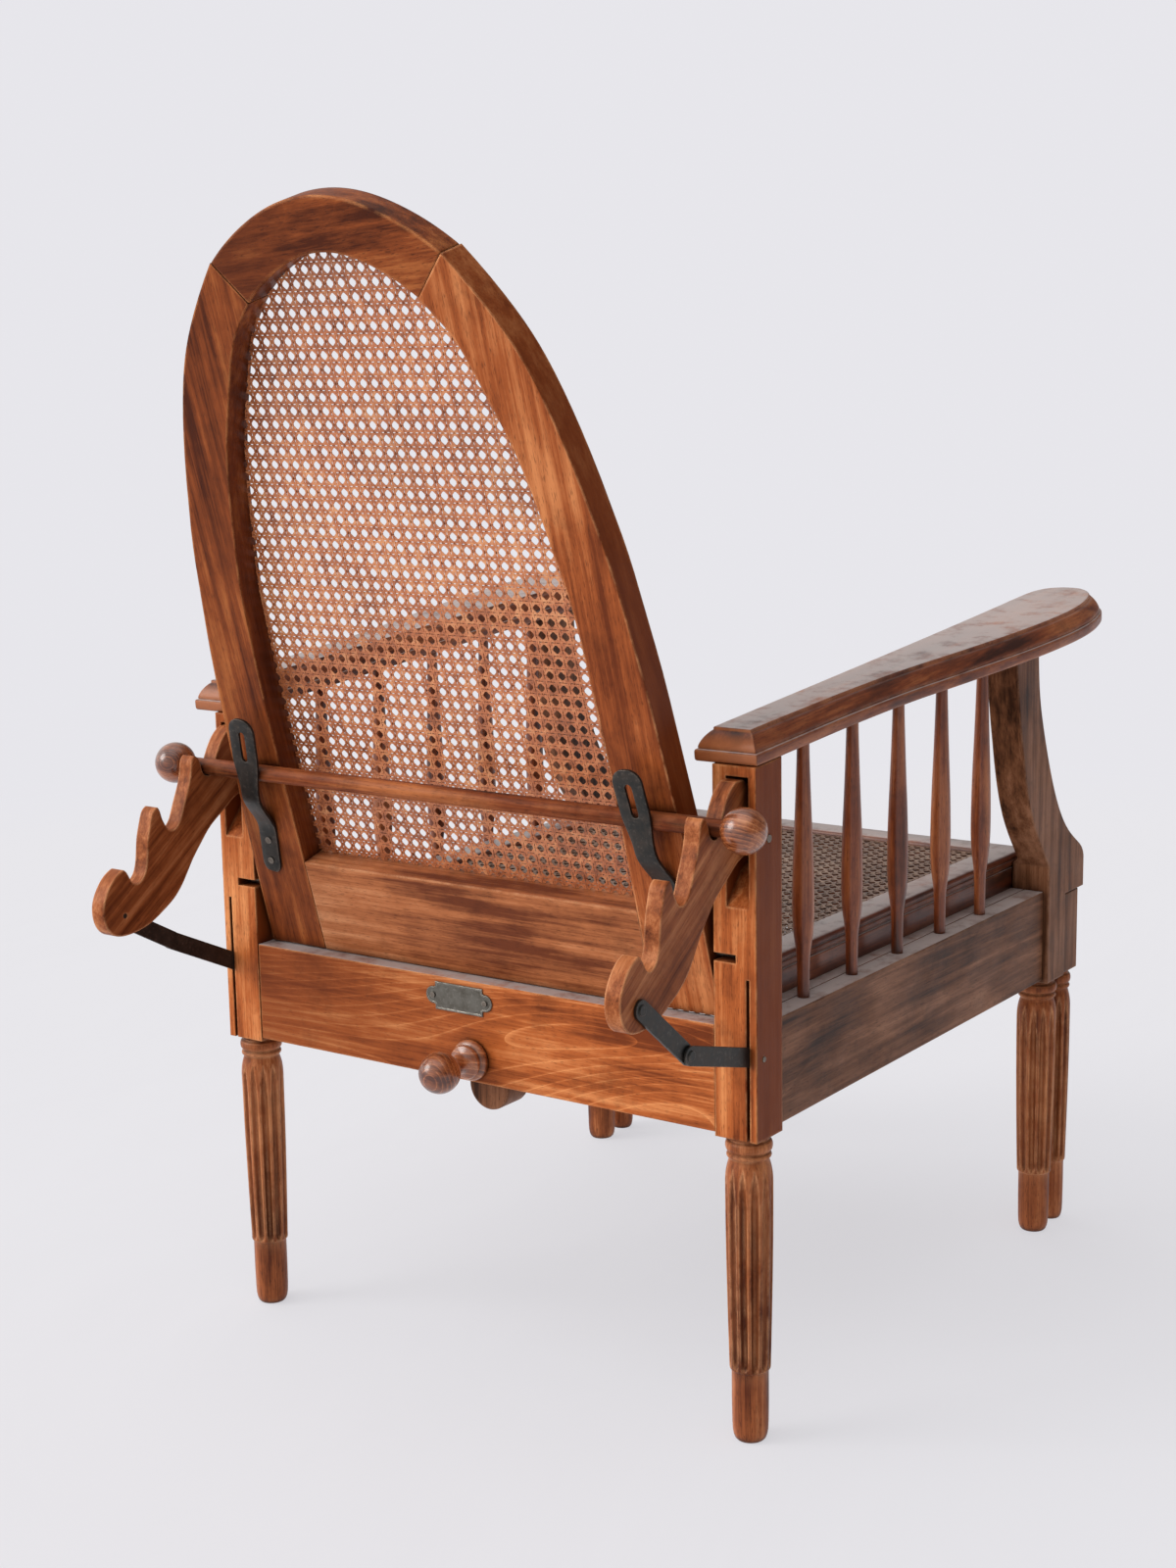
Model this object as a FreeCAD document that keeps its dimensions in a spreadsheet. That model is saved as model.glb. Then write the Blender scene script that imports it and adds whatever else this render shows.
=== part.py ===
import FreeCAD
import Part
import math
import os

Vector = FreeCAD.Vector
Rotation = FreeCAD.Rotation
Placement = FreeCAD.Placement

doc = FreeCAD.newDocument("CaneLoungeChair")

# Driving sizes in millimetres. Left is +X, the front of the seat is -Y and the floor is z = 0.
# All is drawn from the plane of the rear leg axes; the last lines move it over its own middle.
sizes = {
    "leg_axis_across": 302.4,
    "front_axis_depth": 629.0,
    "post_width": 44.6,
    "post_depth": 45.3,
    "block_bottom": 300.0,
    "arm_underside_rear": 646.3,
    "leg_ring_radius": 22.0,
    "leg_shoulder_radius": 22.2,
    "leg_neck_radius": 19.0,
    "leg_taper_radius": 19.3,
    "leg_foot_radius": 17.4,
    "leg_tip_radius": 14.5,
    "flute_radius": 4.0,
    "flute_length": 198.0,
    "rail_bottom": 303.5,
    "rail_height": 102.1,
    "rear_rail_thickness": 24.0,
    "rear_rail_rear_face": 22.0,
    "side_rail_thickness": 24.2,
    "side_rail_outer_face": 318.7,
    "front_rail_height": 53.6,
    "front_rail_thickness": 24.0,
    "arm_band_thickness": 9.0,
    "arm_top_thickness": 21.0,
    "arm_left_outset": 30.0,
    "spindle_tip_radius": 6.0,
    "spindle_belly_radius": 10.5,
    "spindle_pitch_left": 96.0,
    "spindle_pitch_right": 94.3,
    "spindle_first_left": 116.0,
    "spindle_first_right": 100.0,
    "seat_half_width": 279.6,
    "seat_member_width": 38.0,
    "seat_rear_depth": 52.0,
    "seat_front_depth": 652.0,
    "seat_height": 38.4,
    "cleat_width": 29.5,
    "cleat_height": 22.0,
    "cane_thickness": 1.6,
    "back_thickness": 30.0,
    "back_foot_depth": 12.36,
    "back_foot_height": 440.0,
    "pivot_depth": 5.0,
    "pivot_height": 470.0,
    "pivot_pin_radius": 3.8,
    "pivot_pin_length": 35.0,
    "pivot_pin_start": 268.0,
    "rod_radius": 8.45,
    "rod_length": 662.0,
    "rod_depth": 67.6,
    "rod_height": 599.5,
    "ball_radius": 21.0,
    "ball_across": 340.0,
    "rack_thickness": 16.5,
    "rack_inner_face": 294.5,
    "rack_pin_height": 579.0,
    "rack_pin_radius": 3.5,
    "rack_pin_length": 42.0,
    "mortise_inner_face": 294.0,
    "mortise_width": 23.3,
    "stay_width": 18.0,
    "stay_thickness": 2.7,
    "stay_pin_depth": 10.0,
    "stay_pin_height": 377.0,
    "stay_pin_radius": 2.5,
    "stay_pin_length": 20.0,
    "stay_post_length": 113.0,
    "stay_rack_length": 91.5,
    "strap_width": 20.0,
    "strap_thickness": 3.0,
    "strap_length": 180.0,
    "screw_radius": 3.6,
    "screw_height": 1.2,
    "plate_length": 64.0,
    "plate_height": 28.0,
    "plate_thickness": 1.5,
    "knob_height": 327.0,
    "knob_shaft_radius": 6.95,
    "knob_ball_radius": 20.5,
    "knob_ball_depth": 74.0,
    "cam_radius": 24.0,
    "cam_drop": 35.0,
    "cam_thickness": 36.0,
    "rest_axis_depth": 675.0,
    "rest_block_width": 38.0,
    "rest_block_top": 393.0,
    "rest_rail_bottom": 310.0,
    "rest_rail_height": 83.0,
    "rest_rail_thickness": 24.0,
    "runner_inner_face": 240.0,
    "runner_width": 22.0,
    "runner_bottom": 318.0,
    "runner_height": 30.0,
    "runner_rear_depth": 60.0,
    "guide_height": 14.2,
    "body_gap": 0.3,
    "running_gap": 0.05,
    "middle_across": 15.0,
    "middle_depth": 249.8,
}

# Slopes and counts without a length.
back_tilt_share = 16.18 / 90.0
arm_slope_share = 0.08
flute_count = 12
spindle_count = 5
right_rack_drop_share = 1.3 / 90.0
rest_leg_share = 0.85

sheet = doc.addObject("Spreadsheet::Sheet", "Sizes")
for row_number, (size_name, size_value) in enumerate(sizes.items(), start=1):
    sheet.set("A%d" % row_number, size_name)
    sheet.set("B%d" % row_number, str(size_value))
    sheet.setAlias("B%d" % row_number, size_name)
doc.recompute()

nodes = []


def bind(item, property_name, expression):
    for size_name in sorted(sizes, key=len, reverse=True):
        expression = expression.replace("<%s>" % size_name, "Sizes.%s" % size_name)
    item.setExpression(property_name, expression)


def node(item, label):
    item.Label = label
    nodes.append(item)
    return item


def straight(points):
    pairs = zip(points, points[1:])
    return [Part.LineSegment(Vector(*first, 0), Vector(*second, 0)) for first, second in pairs]


def smooth(points):
    curve = Part.BSplineCurve()
    curve.interpolate([Vector(across, along, 0) for across, along in points])
    return [curve]


def closed(points):
    return straight(points + points[:1])


def disc_end(centre, radius, start, end):
    circle = Part.Circle(Vector(centre[0], centre[1], 0), Vector(0, 0, 1), radius)
    return [Part.ArcOfCircle(circle, start, end)]


def sketch_at(name, curves, place):
    sketch = doc.addObject("Sketcher::SketchObject", name + "_sketch")
    sketch.Placement = place
    sketch.addGeometry(curves, False)
    return sketch


def prism(name, curves, place, length):
    sketch = sketch_at(name, curves, place)
    solid = doc.addObject("Part::Extrusion", name)
    solid.Base = sketch
    solid.DirMode = "Custom"
    solid.Dir = place.Rotation.multVec(Vector(0, 0, 1))
    solid.Solid = True
    bind(solid, "LengthFwd", length)
    return solid


# Sketch planes: side view (local y and z run along Y and Z), plan view and end view.
side_turn = Rotation(Vector(1, 1, 1), 120)
end_turn = Rotation(Vector(1, 0, 0), 90)


def side_prism(name, curves, across, length):
    return prism(name, curves, Placement(Vector(across, 0, 0), side_turn), length)


def plan_prism(name, curves, height, length):
    return prism(name, curves, Placement(Vector(0, 0, height), Rotation()), length)


def box(name, low, length, width, height):
    solid = doc.addObject("Part::Box", name)
    bind(solid, "Length", length)
    bind(solid, "Width", width)
    bind(solid, "Height", height)
    solid.Placement = Placement(Vector(*low), Rotation())
    return solid


def rod_across(name, low_across, depth, height, radius, length):
    solid = doc.addObject("Part::Cylinder", name)
    bind(solid, "Radius", radius)
    bind(solid, "Height", length)
    solid.Placement = Placement(Vector(low_across, depth, height), Rotation(Vector(0, 1, 0), 90))
    return solid


def turned(name, profile, foot, axis, place_turn):
    sketch = sketch_at(name, closed(profile), Placement(foot, place_turn))
    solid = doc.addObject("Part::Revolution", name)
    solid.Source = sketch
    solid.Axis = axis
    solid.Base = foot
    solid.Angle = 360
    solid.Solid = True
    return solid


def fused(name, parts):
    solid = doc.addObject("Part::MultiFuse", name)
    solid.Shapes = parts
    return solid


def grouped(name, parts):
    group = doc.addObject("Part::Compound", name)
    group.Links = parts
    return group


def cut(name, base, tools):
    solid = doc.addObject("Part::Cut", name)
    solid.Base = base
    solid.Tool = tools[0] if len(tools) == 1 else grouped(name + "_tools", tools)
    return solid


def low_face(side, near, far):
    return near if side > 0 else -far


def rotated(point, centre, angle):
    along = point[0] - centre[0]
    up = point[1] - centre[1]
    turned_along = along * math.cos(angle) + up * math.sin(angle)
    turned_up = up * math.cos(angle) - along * math.sin(angle)
    return (centre[0] + turned_along, centre[1] + turned_up)


def arm_underside(depth):
    rise = sizes["post_depth"] / 2 - depth
    return sizes["arm_underside_rear"] + arm_slope_share * rise


sides = {"left": 1, "right": -1}
half_post = sizes["post_width"] / 2
half_depth = sizes["post_depth"] / 2
post_inner = sizes["leg_axis_across"] - half_post
post_outer = sizes["leg_axis_across"] + half_post
block_bottom = sizes["block_bottom"]
front_axis = -sizes["front_axis_depth"]
rail_top = sizes["rail_bottom"] + sizes["rail_height"]
gap = sizes["body_gap"]
play = sizes["running_gap"]

# Turned and fluted leg: radius and height pairs from the foot up.
foot_step = 72.0
leg_profile = [
    (0.0, 0.0),
    (sizes["leg_tip_radius"], 0.0),
    (sizes["leg_foot_radius"] - 0.4, 6.0),
    (sizes["leg_foot_radius"], foot_step),
    (sizes["leg_taper_radius"], foot_step),
    (sizes["leg_shoulder_radius"], 262.0),
    (sizes["leg_shoulder_radius"] - 0.5, 274.0),
    (sizes["leg_neck_radius"], 283.0),
    (sizes["leg_neck_radius"], 286.0),
    (sizes["leg_ring_radius"] - 1.5, 287.0),
    (sizes["leg_ring_radius"], 291.0),
    (sizes["leg_ring_radius"], 295.0),
    (sizes["leg_ring_radius"] - 1.5, 299.0),
    (sizes["leg_neck_radius"], block_bottom),
    (0.0, block_bottom),
]


def leg(name, across, depth, share=1.0):
    foot = Vector(across, depth, 0)
    profile = [(share * radius, height) for radius, height in leg_profile]
    blank = turned(name + "_blank", profile, foot, Vector(0, 0, 1), end_turn)
    flutes = []
    taper_height = 262.0 - foot_step
    growth = share * (sizes["leg_shoulder_radius"] - sizes["leg_taper_radius"])
    lean = math.atan2(growth, taper_height)
    reach = share * sizes["leg_taper_radius"] + sizes["flute_radius"] * 0.45
    for number in range(flute_count):
        angle = 360.0 * number / flute_count
        flute = doc.addObject("Part::Cylinder", "%s_flute_%d" % (name, number + 1))
        bind(flute, "Radius", "<flute_radius>")
        bind(flute, "Height", "<flute_length>")
        around = Rotation(Vector(0, 0, 1), angle)
        tilt = Rotation(Vector(0, 1, 0), math.degrees(lean))
        start = foot + around.multVec(Vector(reach, 0, foot_step))
        flute.Placement = Placement(start, around.multiply(tilt))
        flutes.append(flute)
    return cut(name, blank, flutes)


# Rear posts: block, turned leg, mortise for the rack, slot for the stay and notch for the pivot.
mortise_outline = [
    (half_depth + 1.0, 516.0),
    (-2.0, 545.0),
    (-18.0, 552.0),
    (-18.0, 600.0),
    (-10.0, 637.0),
    (half_depth + 1.0, 637.0),
]
slot_top = 452.0
slot_front = -2.0
pin_head_reach = 1.0

for side_name, side in sides.items():
    across = side * sizes["leg_axis_across"]
    name = "post_rear_" + side_name
    block_outline = [
        (half_depth, block_bottom),
        (half_depth, arm_underside(half_depth)),
        (-half_depth, arm_underside(-half_depth)),
        (-half_depth, block_bottom),
    ]
    block_low = low_face(side, post_inner, post_outer)
    block = side_prism(name + "_block", closed(block_outline), block_low, "<post_width>")
    whole = fused(name + "_whole", [block, leg(name + "_leg", across, 0.0)])
    mortise_far = sizes["mortise_inner_face"] + sizes["mortise_width"]
    mortise_low = low_face(side, sizes["mortise_inner_face"], mortise_far)
    mortise = side_prism(name + "_mortise", closed(mortise_outline), mortise_low, "<mortise_width>")
    slot_outline = [
        (half_depth + 1.0, block_bottom),
        (half_depth + 1.0, slot_top),
        (slot_front, slot_top),
        (slot_front, block_bottom),
    ]
    slot_near = mortise_far - sizes["stay_thickness"] - 2 * gap
    slot_low = low_face(side, slot_near, mortise_far)
    slot_length = "<stay_thickness> + 2 * <body_gap>"
    slot = side_prism(name + "_slot", closed(slot_outline), slot_low, slot_length)
    bore_radius = sizes["pivot_pin_radius"] + play
    notch_outline = straight([
        (sizes["pivot_depth"], sizes["pivot_height"] - bore_radius),
        (half_depth + 1.0, sizes["pivot_height"] - bore_radius),
        (half_depth + 1.0, sizes["pivot_height"] + bore_radius),
        (sizes["pivot_depth"], sizes["pivot_height"] + bore_radius),
    ])
    notch_centre = (sizes["pivot_depth"], sizes["pivot_height"])
    notch_outline += disc_end(notch_centre, bore_radius, math.pi / 2, 3 * math.pi / 2)
    notch_far = sizes["pivot_pin_start"] + sizes["pivot_pin_length"] + gap
    notch_near = post_inner - 1.0
    notch_low = low_face(side, notch_near, notch_far)
    notch = side_prism(name + "_notch", notch_outline, notch_low, "%f mm" % (notch_far - notch_near))
    pin_far = post_outer + pin_head_reach
    rack_pin_low = low_face(side, pin_far - sizes["rack_pin_length"], pin_far)
    rack_bore = rod_across(name + "_rack_bore", rack_pin_low, 0.0, sizes["rack_pin_height"],
                           "<rack_pin_radius>", "<rack_pin_length>")
    stay_pin_low = low_face(side, pin_far - sizes["stay_pin_length"], pin_far)
    stay_bore = rod_across(name + "_stay_bore", stay_pin_low, sizes["stay_pin_depth"],
                           sizes["stay_pin_height"], "<stay_pin_radius>", "<stay_pin_length>")
    node(cut(name, whole, [mortise, slot, notch, rack_bore, stay_bore]), name)

rack_pins = []
stay_pins = []
for side_name, side in sides.items():
    pin_far = post_outer + pin_head_reach
    rack_pins.append(rod_across("rack_pin_" + side_name,
                                low_face(side, pin_far - sizes["rack_pin_length"], pin_far),
                                0.0, sizes["rack_pin_height"],
                                "<rack_pin_radius>", "<rack_pin_length>"))
    stay_pins.append(rod_across("stay_pin_" + side_name,
                                low_face(side, pin_far - sizes["stay_pin_length"], pin_far),
                                sizes["stay_pin_depth"], sizes["stay_pin_height"],
                                "<stay_pin_radius>", "<stay_pin_length>"))
node(grouped("rack_pins", rack_pins), "rack_pins")
node(grouped("stay_pins", stay_pins), "stay_pins")

# Front posts sweep back to the arm and flare forward over the leg rest.
post_rear_edge = [
    (-513.5, 680.0), (-516.0, 664.0), (-523.0, 623.0), (-532.0, 581.0), (-540.5, 547.0),
    (-548.0, 524.0), (-559.0, 499.0), (-575.0, 474.0), (-597.0, 446.0),
    (front_axis + half_depth, 434.0),
]
post_front_edge = [
    (-701.0, 430.0), (-695.0, 441.0), (-683.0, 450.0), (-666.0, 461.0), (-647.0, 477.0),
    (-630.0, 498.0), (-606.0, 542.0), (-587.0, 589.0), (-575.0, 629.0), (-570.0, 670.0),
    (-569.0, 686.0),
]
flare_bottom = 395.0
for side_name, side in sides.items():
    name = "post_front_" + side_name
    front_outline = smooth(post_rear_edge)
    front_outline += straight([
        post_rear_edge[-1],
        (front_axis + half_depth, block_bottom),
        (front_axis - half_depth, block_bottom),
        (front_axis - half_depth, flare_bottom),
        (post_front_edge[0][0], flare_bottom),
        post_front_edge[0],
    ])
    front_outline += smooth(post_front_edge)
    front_outline += straight([
        post_front_edge[-1],
        (post_front_edge[-1][0], arm_underside(post_front_edge[-1][0])),
        (post_rear_edge[0][0], arm_underside(post_rear_edge[0][0])),
        post_rear_edge[0],
    ])
    block_low = low_face(side, post_inner, post_outer)
    block = side_prism(name + "_block", front_outline, block_low, "<post_width>")
    across = side * sizes["leg_axis_across"]
    node(fused(name, [block, leg(name + "_leg", across, front_axis)]), name)

# Rails of the fixed frame.
rear_rail_low = (-post_inner, sizes["rear_rail_rear_face"] - sizes["rear_rail_thickness"],
                 sizes["rail_bottom"])
rear_rail_blank = box("rail_rear_blank", rear_rail_low, "2 * (<leg_axis_across> - <post_width> / 2)",
                      "<rear_rail_thickness>", "<rail_height>")
knob_bore = doc.addObject("Part::Cylinder", "rail_rear_bore")
bind(knob_bore, "Radius", "<knob_shaft_radius> + <running_gap>")
bind(knob_bore, "Height", "3 * <rear_rail_thickness>")
knob_bore.Placement = Placement(Vector(0, 2 * sizes["rear_rail_thickness"], sizes["knob_height"]),
                                end_turn)
node(cut("rail_rear", rear_rail_blank, [knob_bore]), "rail_rear")

side_rail_inner = sizes["side_rail_outer_face"] - sizes["side_rail_thickness"]
side_rail_length = "<front_axis_depth> - <post_depth>"
for side_name, side in sides.items():
    rail_low = (low_face(side, side_rail_inner, sizes["side_rail_outer_face"]),
                front_axis + half_depth, sizes["rail_bottom"])
    rail = box("rail_side_" + side_name, rail_low, "<side_rail_thickness>", side_rail_length,
               "<rail_height>")
    node(rail, "rail_side_" + side_name)

front_rail_rear = front_axis + sizes["front_rail_thickness"] / 2
front_rail_low = (-post_inner, front_rail_rear - sizes["front_rail_thickness"],
                  rail_top - sizes["front_rail_height"])
node(box("rail_front", front_rail_low, "2 * (<leg_axis_across> - <post_width> / 2)",
         "<front_rail_thickness>", "<front_rail_height>"), "rail_front")

# Arms: a square band below a moulded top, narrow at the rear and wide over the front posts.
arm_outer_edge = [
    (324.7, 20.0), (327.0, -69.0), (330.0, -156.0), (337.0, -250.0), (350.0, -345.0),
    (361.0, -430.0), (368.0, -510.0), (369.0, -580.0), (362.0, -638.0), (346.0, -688.0),
    (322.0, -716.0), (296.0, -722.0), (272.0, -712.0), (259.0, -690.0), (255.0, -655.0),
    (257.0, -560.0), (259.0, -420.0), (260.0, -250.0), (260.0, 20.0),
]
arm_turn = Rotation(Vector(1, 0, 0), -math.degrees(math.atan(arm_slope_share)))
arm_origin = Vector(0, 0, arm_underside(0.0))


def arm_layer(name, side, inset, lift, thickness, taper):
    centre_across = 305.0
    edge = []
    for across, depth in arm_outer_edge:
        shift_across = inset if across < centre_across else -inset
        shift_depth = inset if depth < -600.0 else 0.0
        shift_depth = -inset if depth > 0.0 else shift_depth
        outset = sizes["arm_left_outset"] if side > 0 else 0.0
        edge.append((side * (across + shift_across + outset), depth + shift_depth))
    curves = smooth(edge) + straight([edge[-1], edge[0]])
    base = arm_origin + arm_turn.multVec(Vector(0, 0, lift))
    layer = prism(name, curves, Placement(base, arm_turn), thickness)
    layer.TaperAngle = taper
    return layer


for side_name, side in sides.items():
    band = arm_layer("arm_%s_band" % side_name, side, 0.0, 0.0, "<arm_band_thickness>", 0)
    top = arm_layer("arm_%s_top" % side_name, side, 3.0, sizes["arm_band_thickness"],
                    "<arm_top_thickness>", 0)
    node(fused("arm_" + side_name, [band, top]), "arm_" + side_name)

# Spindles between the side rails and the arms: radius and height shares.
spindle_shares = [
    (0.0, 1.0), (0.12, 1.0), (0.16, 1.08), (0.27, 1.6), (0.36, 1.75), (0.43, 1.75),
    (0.55, 1.62), (0.7, 1.35), (0.85, 1.12), (0.93, 1.0), (1.0, 1.0),
]
for side_name, side in sides.items():
    for number in range(spindle_count):
        first_depth = sizes["spindle_first_" + side_name]
        depth = -first_depth - number * sizes["spindle_pitch_" + side_name]
        top_height = arm_underside(depth + sizes["spindle_tip_radius"])
        spindle_length = top_height - rail_top
        profile = [(0.0, rail_top)]
        for height_share, radius_share in spindle_shares:
            profile.append((sizes["spindle_tip_radius"] * radius_share,
                            rail_top + height_share * spindle_length))
        profile.append((0.0, top_height))
        name = "spindle_%s_%d" % (side_name, number + 1)
        foot = Vector(side * sizes["leg_axis_across"], depth, 0)
        node(turned(name, profile, foot, Vector(0, 0, 1), end_turn), name)

# Seat frame: two long members with the cross members between them.
seat_inner = sizes["seat_half_width"] - sizes["seat_member_width"]
for side_name, side in sides.items():
    member_low = (low_face(side, seat_inner, sizes["seat_half_width"]),
                  -sizes["seat_front_depth"], rail_top)
    name = "seat_member_" + side_name
    node(box(name, member_low, "<seat_member_width>", "<seat_front_depth> - <seat_rear_depth>",
             "<seat_height>"), name)
for end_name, low_depth in (("front", -sizes["seat_front_depth"]),
                            ("rear", -sizes["seat_rear_depth"] - sizes["seat_member_width"])):
    name = "seat_member_" + end_name
    node(box(name, (-seat_inner, low_depth, rail_top),
             "2 * (<seat_half_width> - <seat_member_width>)",
             "<seat_member_width>", "<seat_height>"), name)

for side_name, side in sides.items():
    cleat_low = (low_face(side, side_rail_inner - sizes["cleat_width"], side_rail_inner),
                 front_axis + half_depth, rail_top - sizes["cleat_height"])
    name = "seat_cleat_" + side_name
    node(box(name, cleat_low, "<cleat_width>", side_rail_length, "<cleat_height>"), name)
    guide_near = sizes["runner_inner_face"]
    guide_low = (low_face(side, guide_near, side_rail_inner), front_axis + half_depth,
                 sizes["runner_bottom"] - gap - sizes["guide_height"])
    name = "runner_guide_" + side_name
    guide_length = "<side_rail_outer_face> - <side_rail_thickness> - <runner_inner_face>"
    node(box(name, guide_low, guide_length, side_rail_length, "<guide_height>"), name)


def holed_sheet(name, edge, place, pitch, inside):
    outer = Part.Wire([curve.toShape() for curve in edge])
    wires = [outer]
    hole_half = pitch * 0.32
    corner_shares = ((1, 0.4), (0.4, 1), (-0.4, 1), (-1, 0.4), (-1, -0.4), (-0.4, -1),
                     (0.4, -1), (1, -0.4))
    rows = range(-40, 41)
    for row in rows:
        for column in rows:
            centre = (column * pitch, row * pitch)
            if inside(centre, hole_half * 1.5):
                corners = [Vector(centre[0] + hole_half * across, centre[1] + hole_half * along, 0)
                           for across, along in corner_shares]
                wires.append(Part.makePolygon(corners + corners[:1]))
    face = Part.Face(wires[0])
    holes = [Part.Face(wire) for wire in wires[1:]]
    face = face.cut(Part.makeCompound(holes)) if holes else face
    sheet_solid = face.extrude(Vector(0, 0, sizes["cane_thickness"]))
    item = doc.addObject("Part::Feature", name)
    item.Shape = sheet_solid.Solids[0]
    item.Placement = place
    return item


def box_test(low_across, high_across, low_along, high_along):
    def inside(centre, reach):
        across_fits = low_across + reach < centre[0] < high_across - reach
        return across_fits and low_along + reach < centre[1] < high_along - reach
    return inside


seat_low = -sizes["seat_front_depth"] + sizes["seat_member_width"]
seat_high = -sizes["seat_rear_depth"] - sizes["seat_member_width"]
seat_edge = closed([(-seat_inner, seat_low), (seat_inner, seat_low),
                    (seat_inner, seat_high), (-seat_inner, seat_high)])
seat_cane_height = rail_top + sizes["seat_height"] - 4 * sizes["cane_thickness"]
seat_pitch = 2 * seat_inner / 16.0
node(holed_sheet("seat_cane", seat_edge, Placement(Vector(0, 0, seat_cane_height), Rotation()),
                 seat_pitch, box_test(-seat_inner, seat_inner, seat_low, seat_high)), "seat_cane")

# Reclining back, drawn in its own plane: across, up the slope and forward from the rear face.
tilt_angle = back_tilt_share * 90.0
back_turn = Rotation(Vector(1, 0, 0), 90.0 - tilt_angle)
back_origin = Vector(0, sizes["back_foot_depth"], sizes["back_foot_height"])
back_place = Placement(back_origin, back_turn)


def back_plane(forward):
    return Placement(back_origin + back_turn.multVec(Vector(0, 0, forward)), back_turn)


back_bottom = -34.0
back_outer_low = [
    (275.0, back_bottom), (273.5, 40.0), (270.0, 120.0), (264.0, 210.0), (260.0, 266.0),
    (256.0, 310.0), (251.0, 350.0), (245.0, 398.0), (236.0, 445.0), (223.0, 500.0),
    (207.0, 553.0), (190.0, 594.0), (165.5, 634.0), (131.0, 678.0),
]
back_outer_high = [(131.0, 678.0), (104.0, 698.0), (75.0, 714.0), (36.0, 728.0), (0.0, 732.2)]
back_inner_low = [
    (97.0, 640.0), (113.0, 623.0), (125.0, 607.0), (144.0, 566.0), (163.0, 517.0), (176.0, 471.0), (187.0, 415.0),
    (195.0, 366.0), (199.0, 313.0), (202.0, 240.0), (203.0, 160.0), (203.0, 66.0),
]
back_inner_high = [(0.0, 682.5), (18.0, 681.0), (38.0, 675.5), (57.0, 667.0), (76.0, 656.0),
                   (97.0, 640.0)]
back_rail_top = 66.0
back_inner_width = 203.0

for side_name, side in sides.items():
    outer = [(side * across, along) for across, along in back_outer_low]
    inner = [(side * across, along) for across, along in back_inner_low]
    inner_foot = (side * back_inner_width, back_bottom)
    outline = smooth(outer) + straight([outer[-1], inner[0]]) + smooth(inner)
    outline += straight([inner[-1], inner_foot, outer[0]])
    name = "back_stile_" + side_name
    blank = prism(name + "_blank", outline, back_plane(0.0), "<back_thickness>")
    pin_far = sizes["pivot_pin_start"] + sizes["pivot_pin_length"]
    bore = rod_across(name + "_bore", low_face(side, sizes["pivot_pin_start"], pin_far),
                      sizes["pivot_depth"], sizes["pivot_height"],
                      "<pivot_pin_radius>", "<pivot_pin_length>")
    node(cut(name, blank, [bore]), name)

pivot_pins = []
for side_name, side in sides.items():
    pin_far = sizes["pivot_pin_start"] + sizes["pivot_pin_length"]
    pivot_pins.append(rod_across("back_pivot_pin_" + side_name,
                                 low_face(side, sizes["pivot_pin_start"], pin_far),
                                 sizes["pivot_depth"], sizes["pivot_height"],
                                 "<pivot_pin_radius>", "<pivot_pin_length>"))
node(grouped("back_pivot_pins", pivot_pins), "back_pivot_pins")

outer_arch = back_outer_high + [(-across, along) for across, along in back_outer_high[-2::-1]]
inner_arch = [(-across, along) for across, along in back_inner_high[:0:-1]] + back_inner_high
arch_outline = smooth(outer_arch) + straight([outer_arch[-1], inner_arch[0]])
arch_outline += smooth(inner_arch) + straight([inner_arch[-1], outer_arch[0]])
node(prism("back_top_arch", arch_outline, back_plane(0.0), "<back_thickness>"), "back_top_arch")

rail_outline = closed([(-back_inner_width, back_bottom), (back_inner_width, back_bottom),
                       (back_inner_width, back_rail_top), (-back_inner_width, back_rail_top)])
node(prism("back_bottom_rail", rail_outline, back_plane(0.0), "<back_thickness>"),
     "back_bottom_rail")

cane_edge_left = back_inner_low[::-1]
cane_edge_right = [(-across, along) for across, along in back_inner_low]
back_cane_edge = smooth(cane_edge_left)
back_cane_edge += smooth(back_inner_high[::-1] + [(-a, b) for a, b in back_inner_high[1:]])
back_cane_edge += smooth(cane_edge_right)
back_cane_edge += straight([cane_edge_right[-1], cane_edge_left[0]])


def inside_back(centre, reach):
    if centre[1] < back_rail_top + reach:
        return False
    bounds = sorted(back_inner_low + back_inner_high, key=lambda point: point[1])
    for low, high in zip(bounds, bounds[1:]):
        if low[1] <= centre[1] + reach <= high[1]:
            return abs(centre[0]) + reach < min(low[0], high[0])
    return False


back_pitch = 2 * back_inner_width / 15.0
cane_forward = sizes["back_thickness"] - 3 * sizes["cane_thickness"]
node(holed_sheet("back_cane", back_cane_edge, back_plane(cane_forward), back_pitch, inside_back),
     "back_cane")

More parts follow.
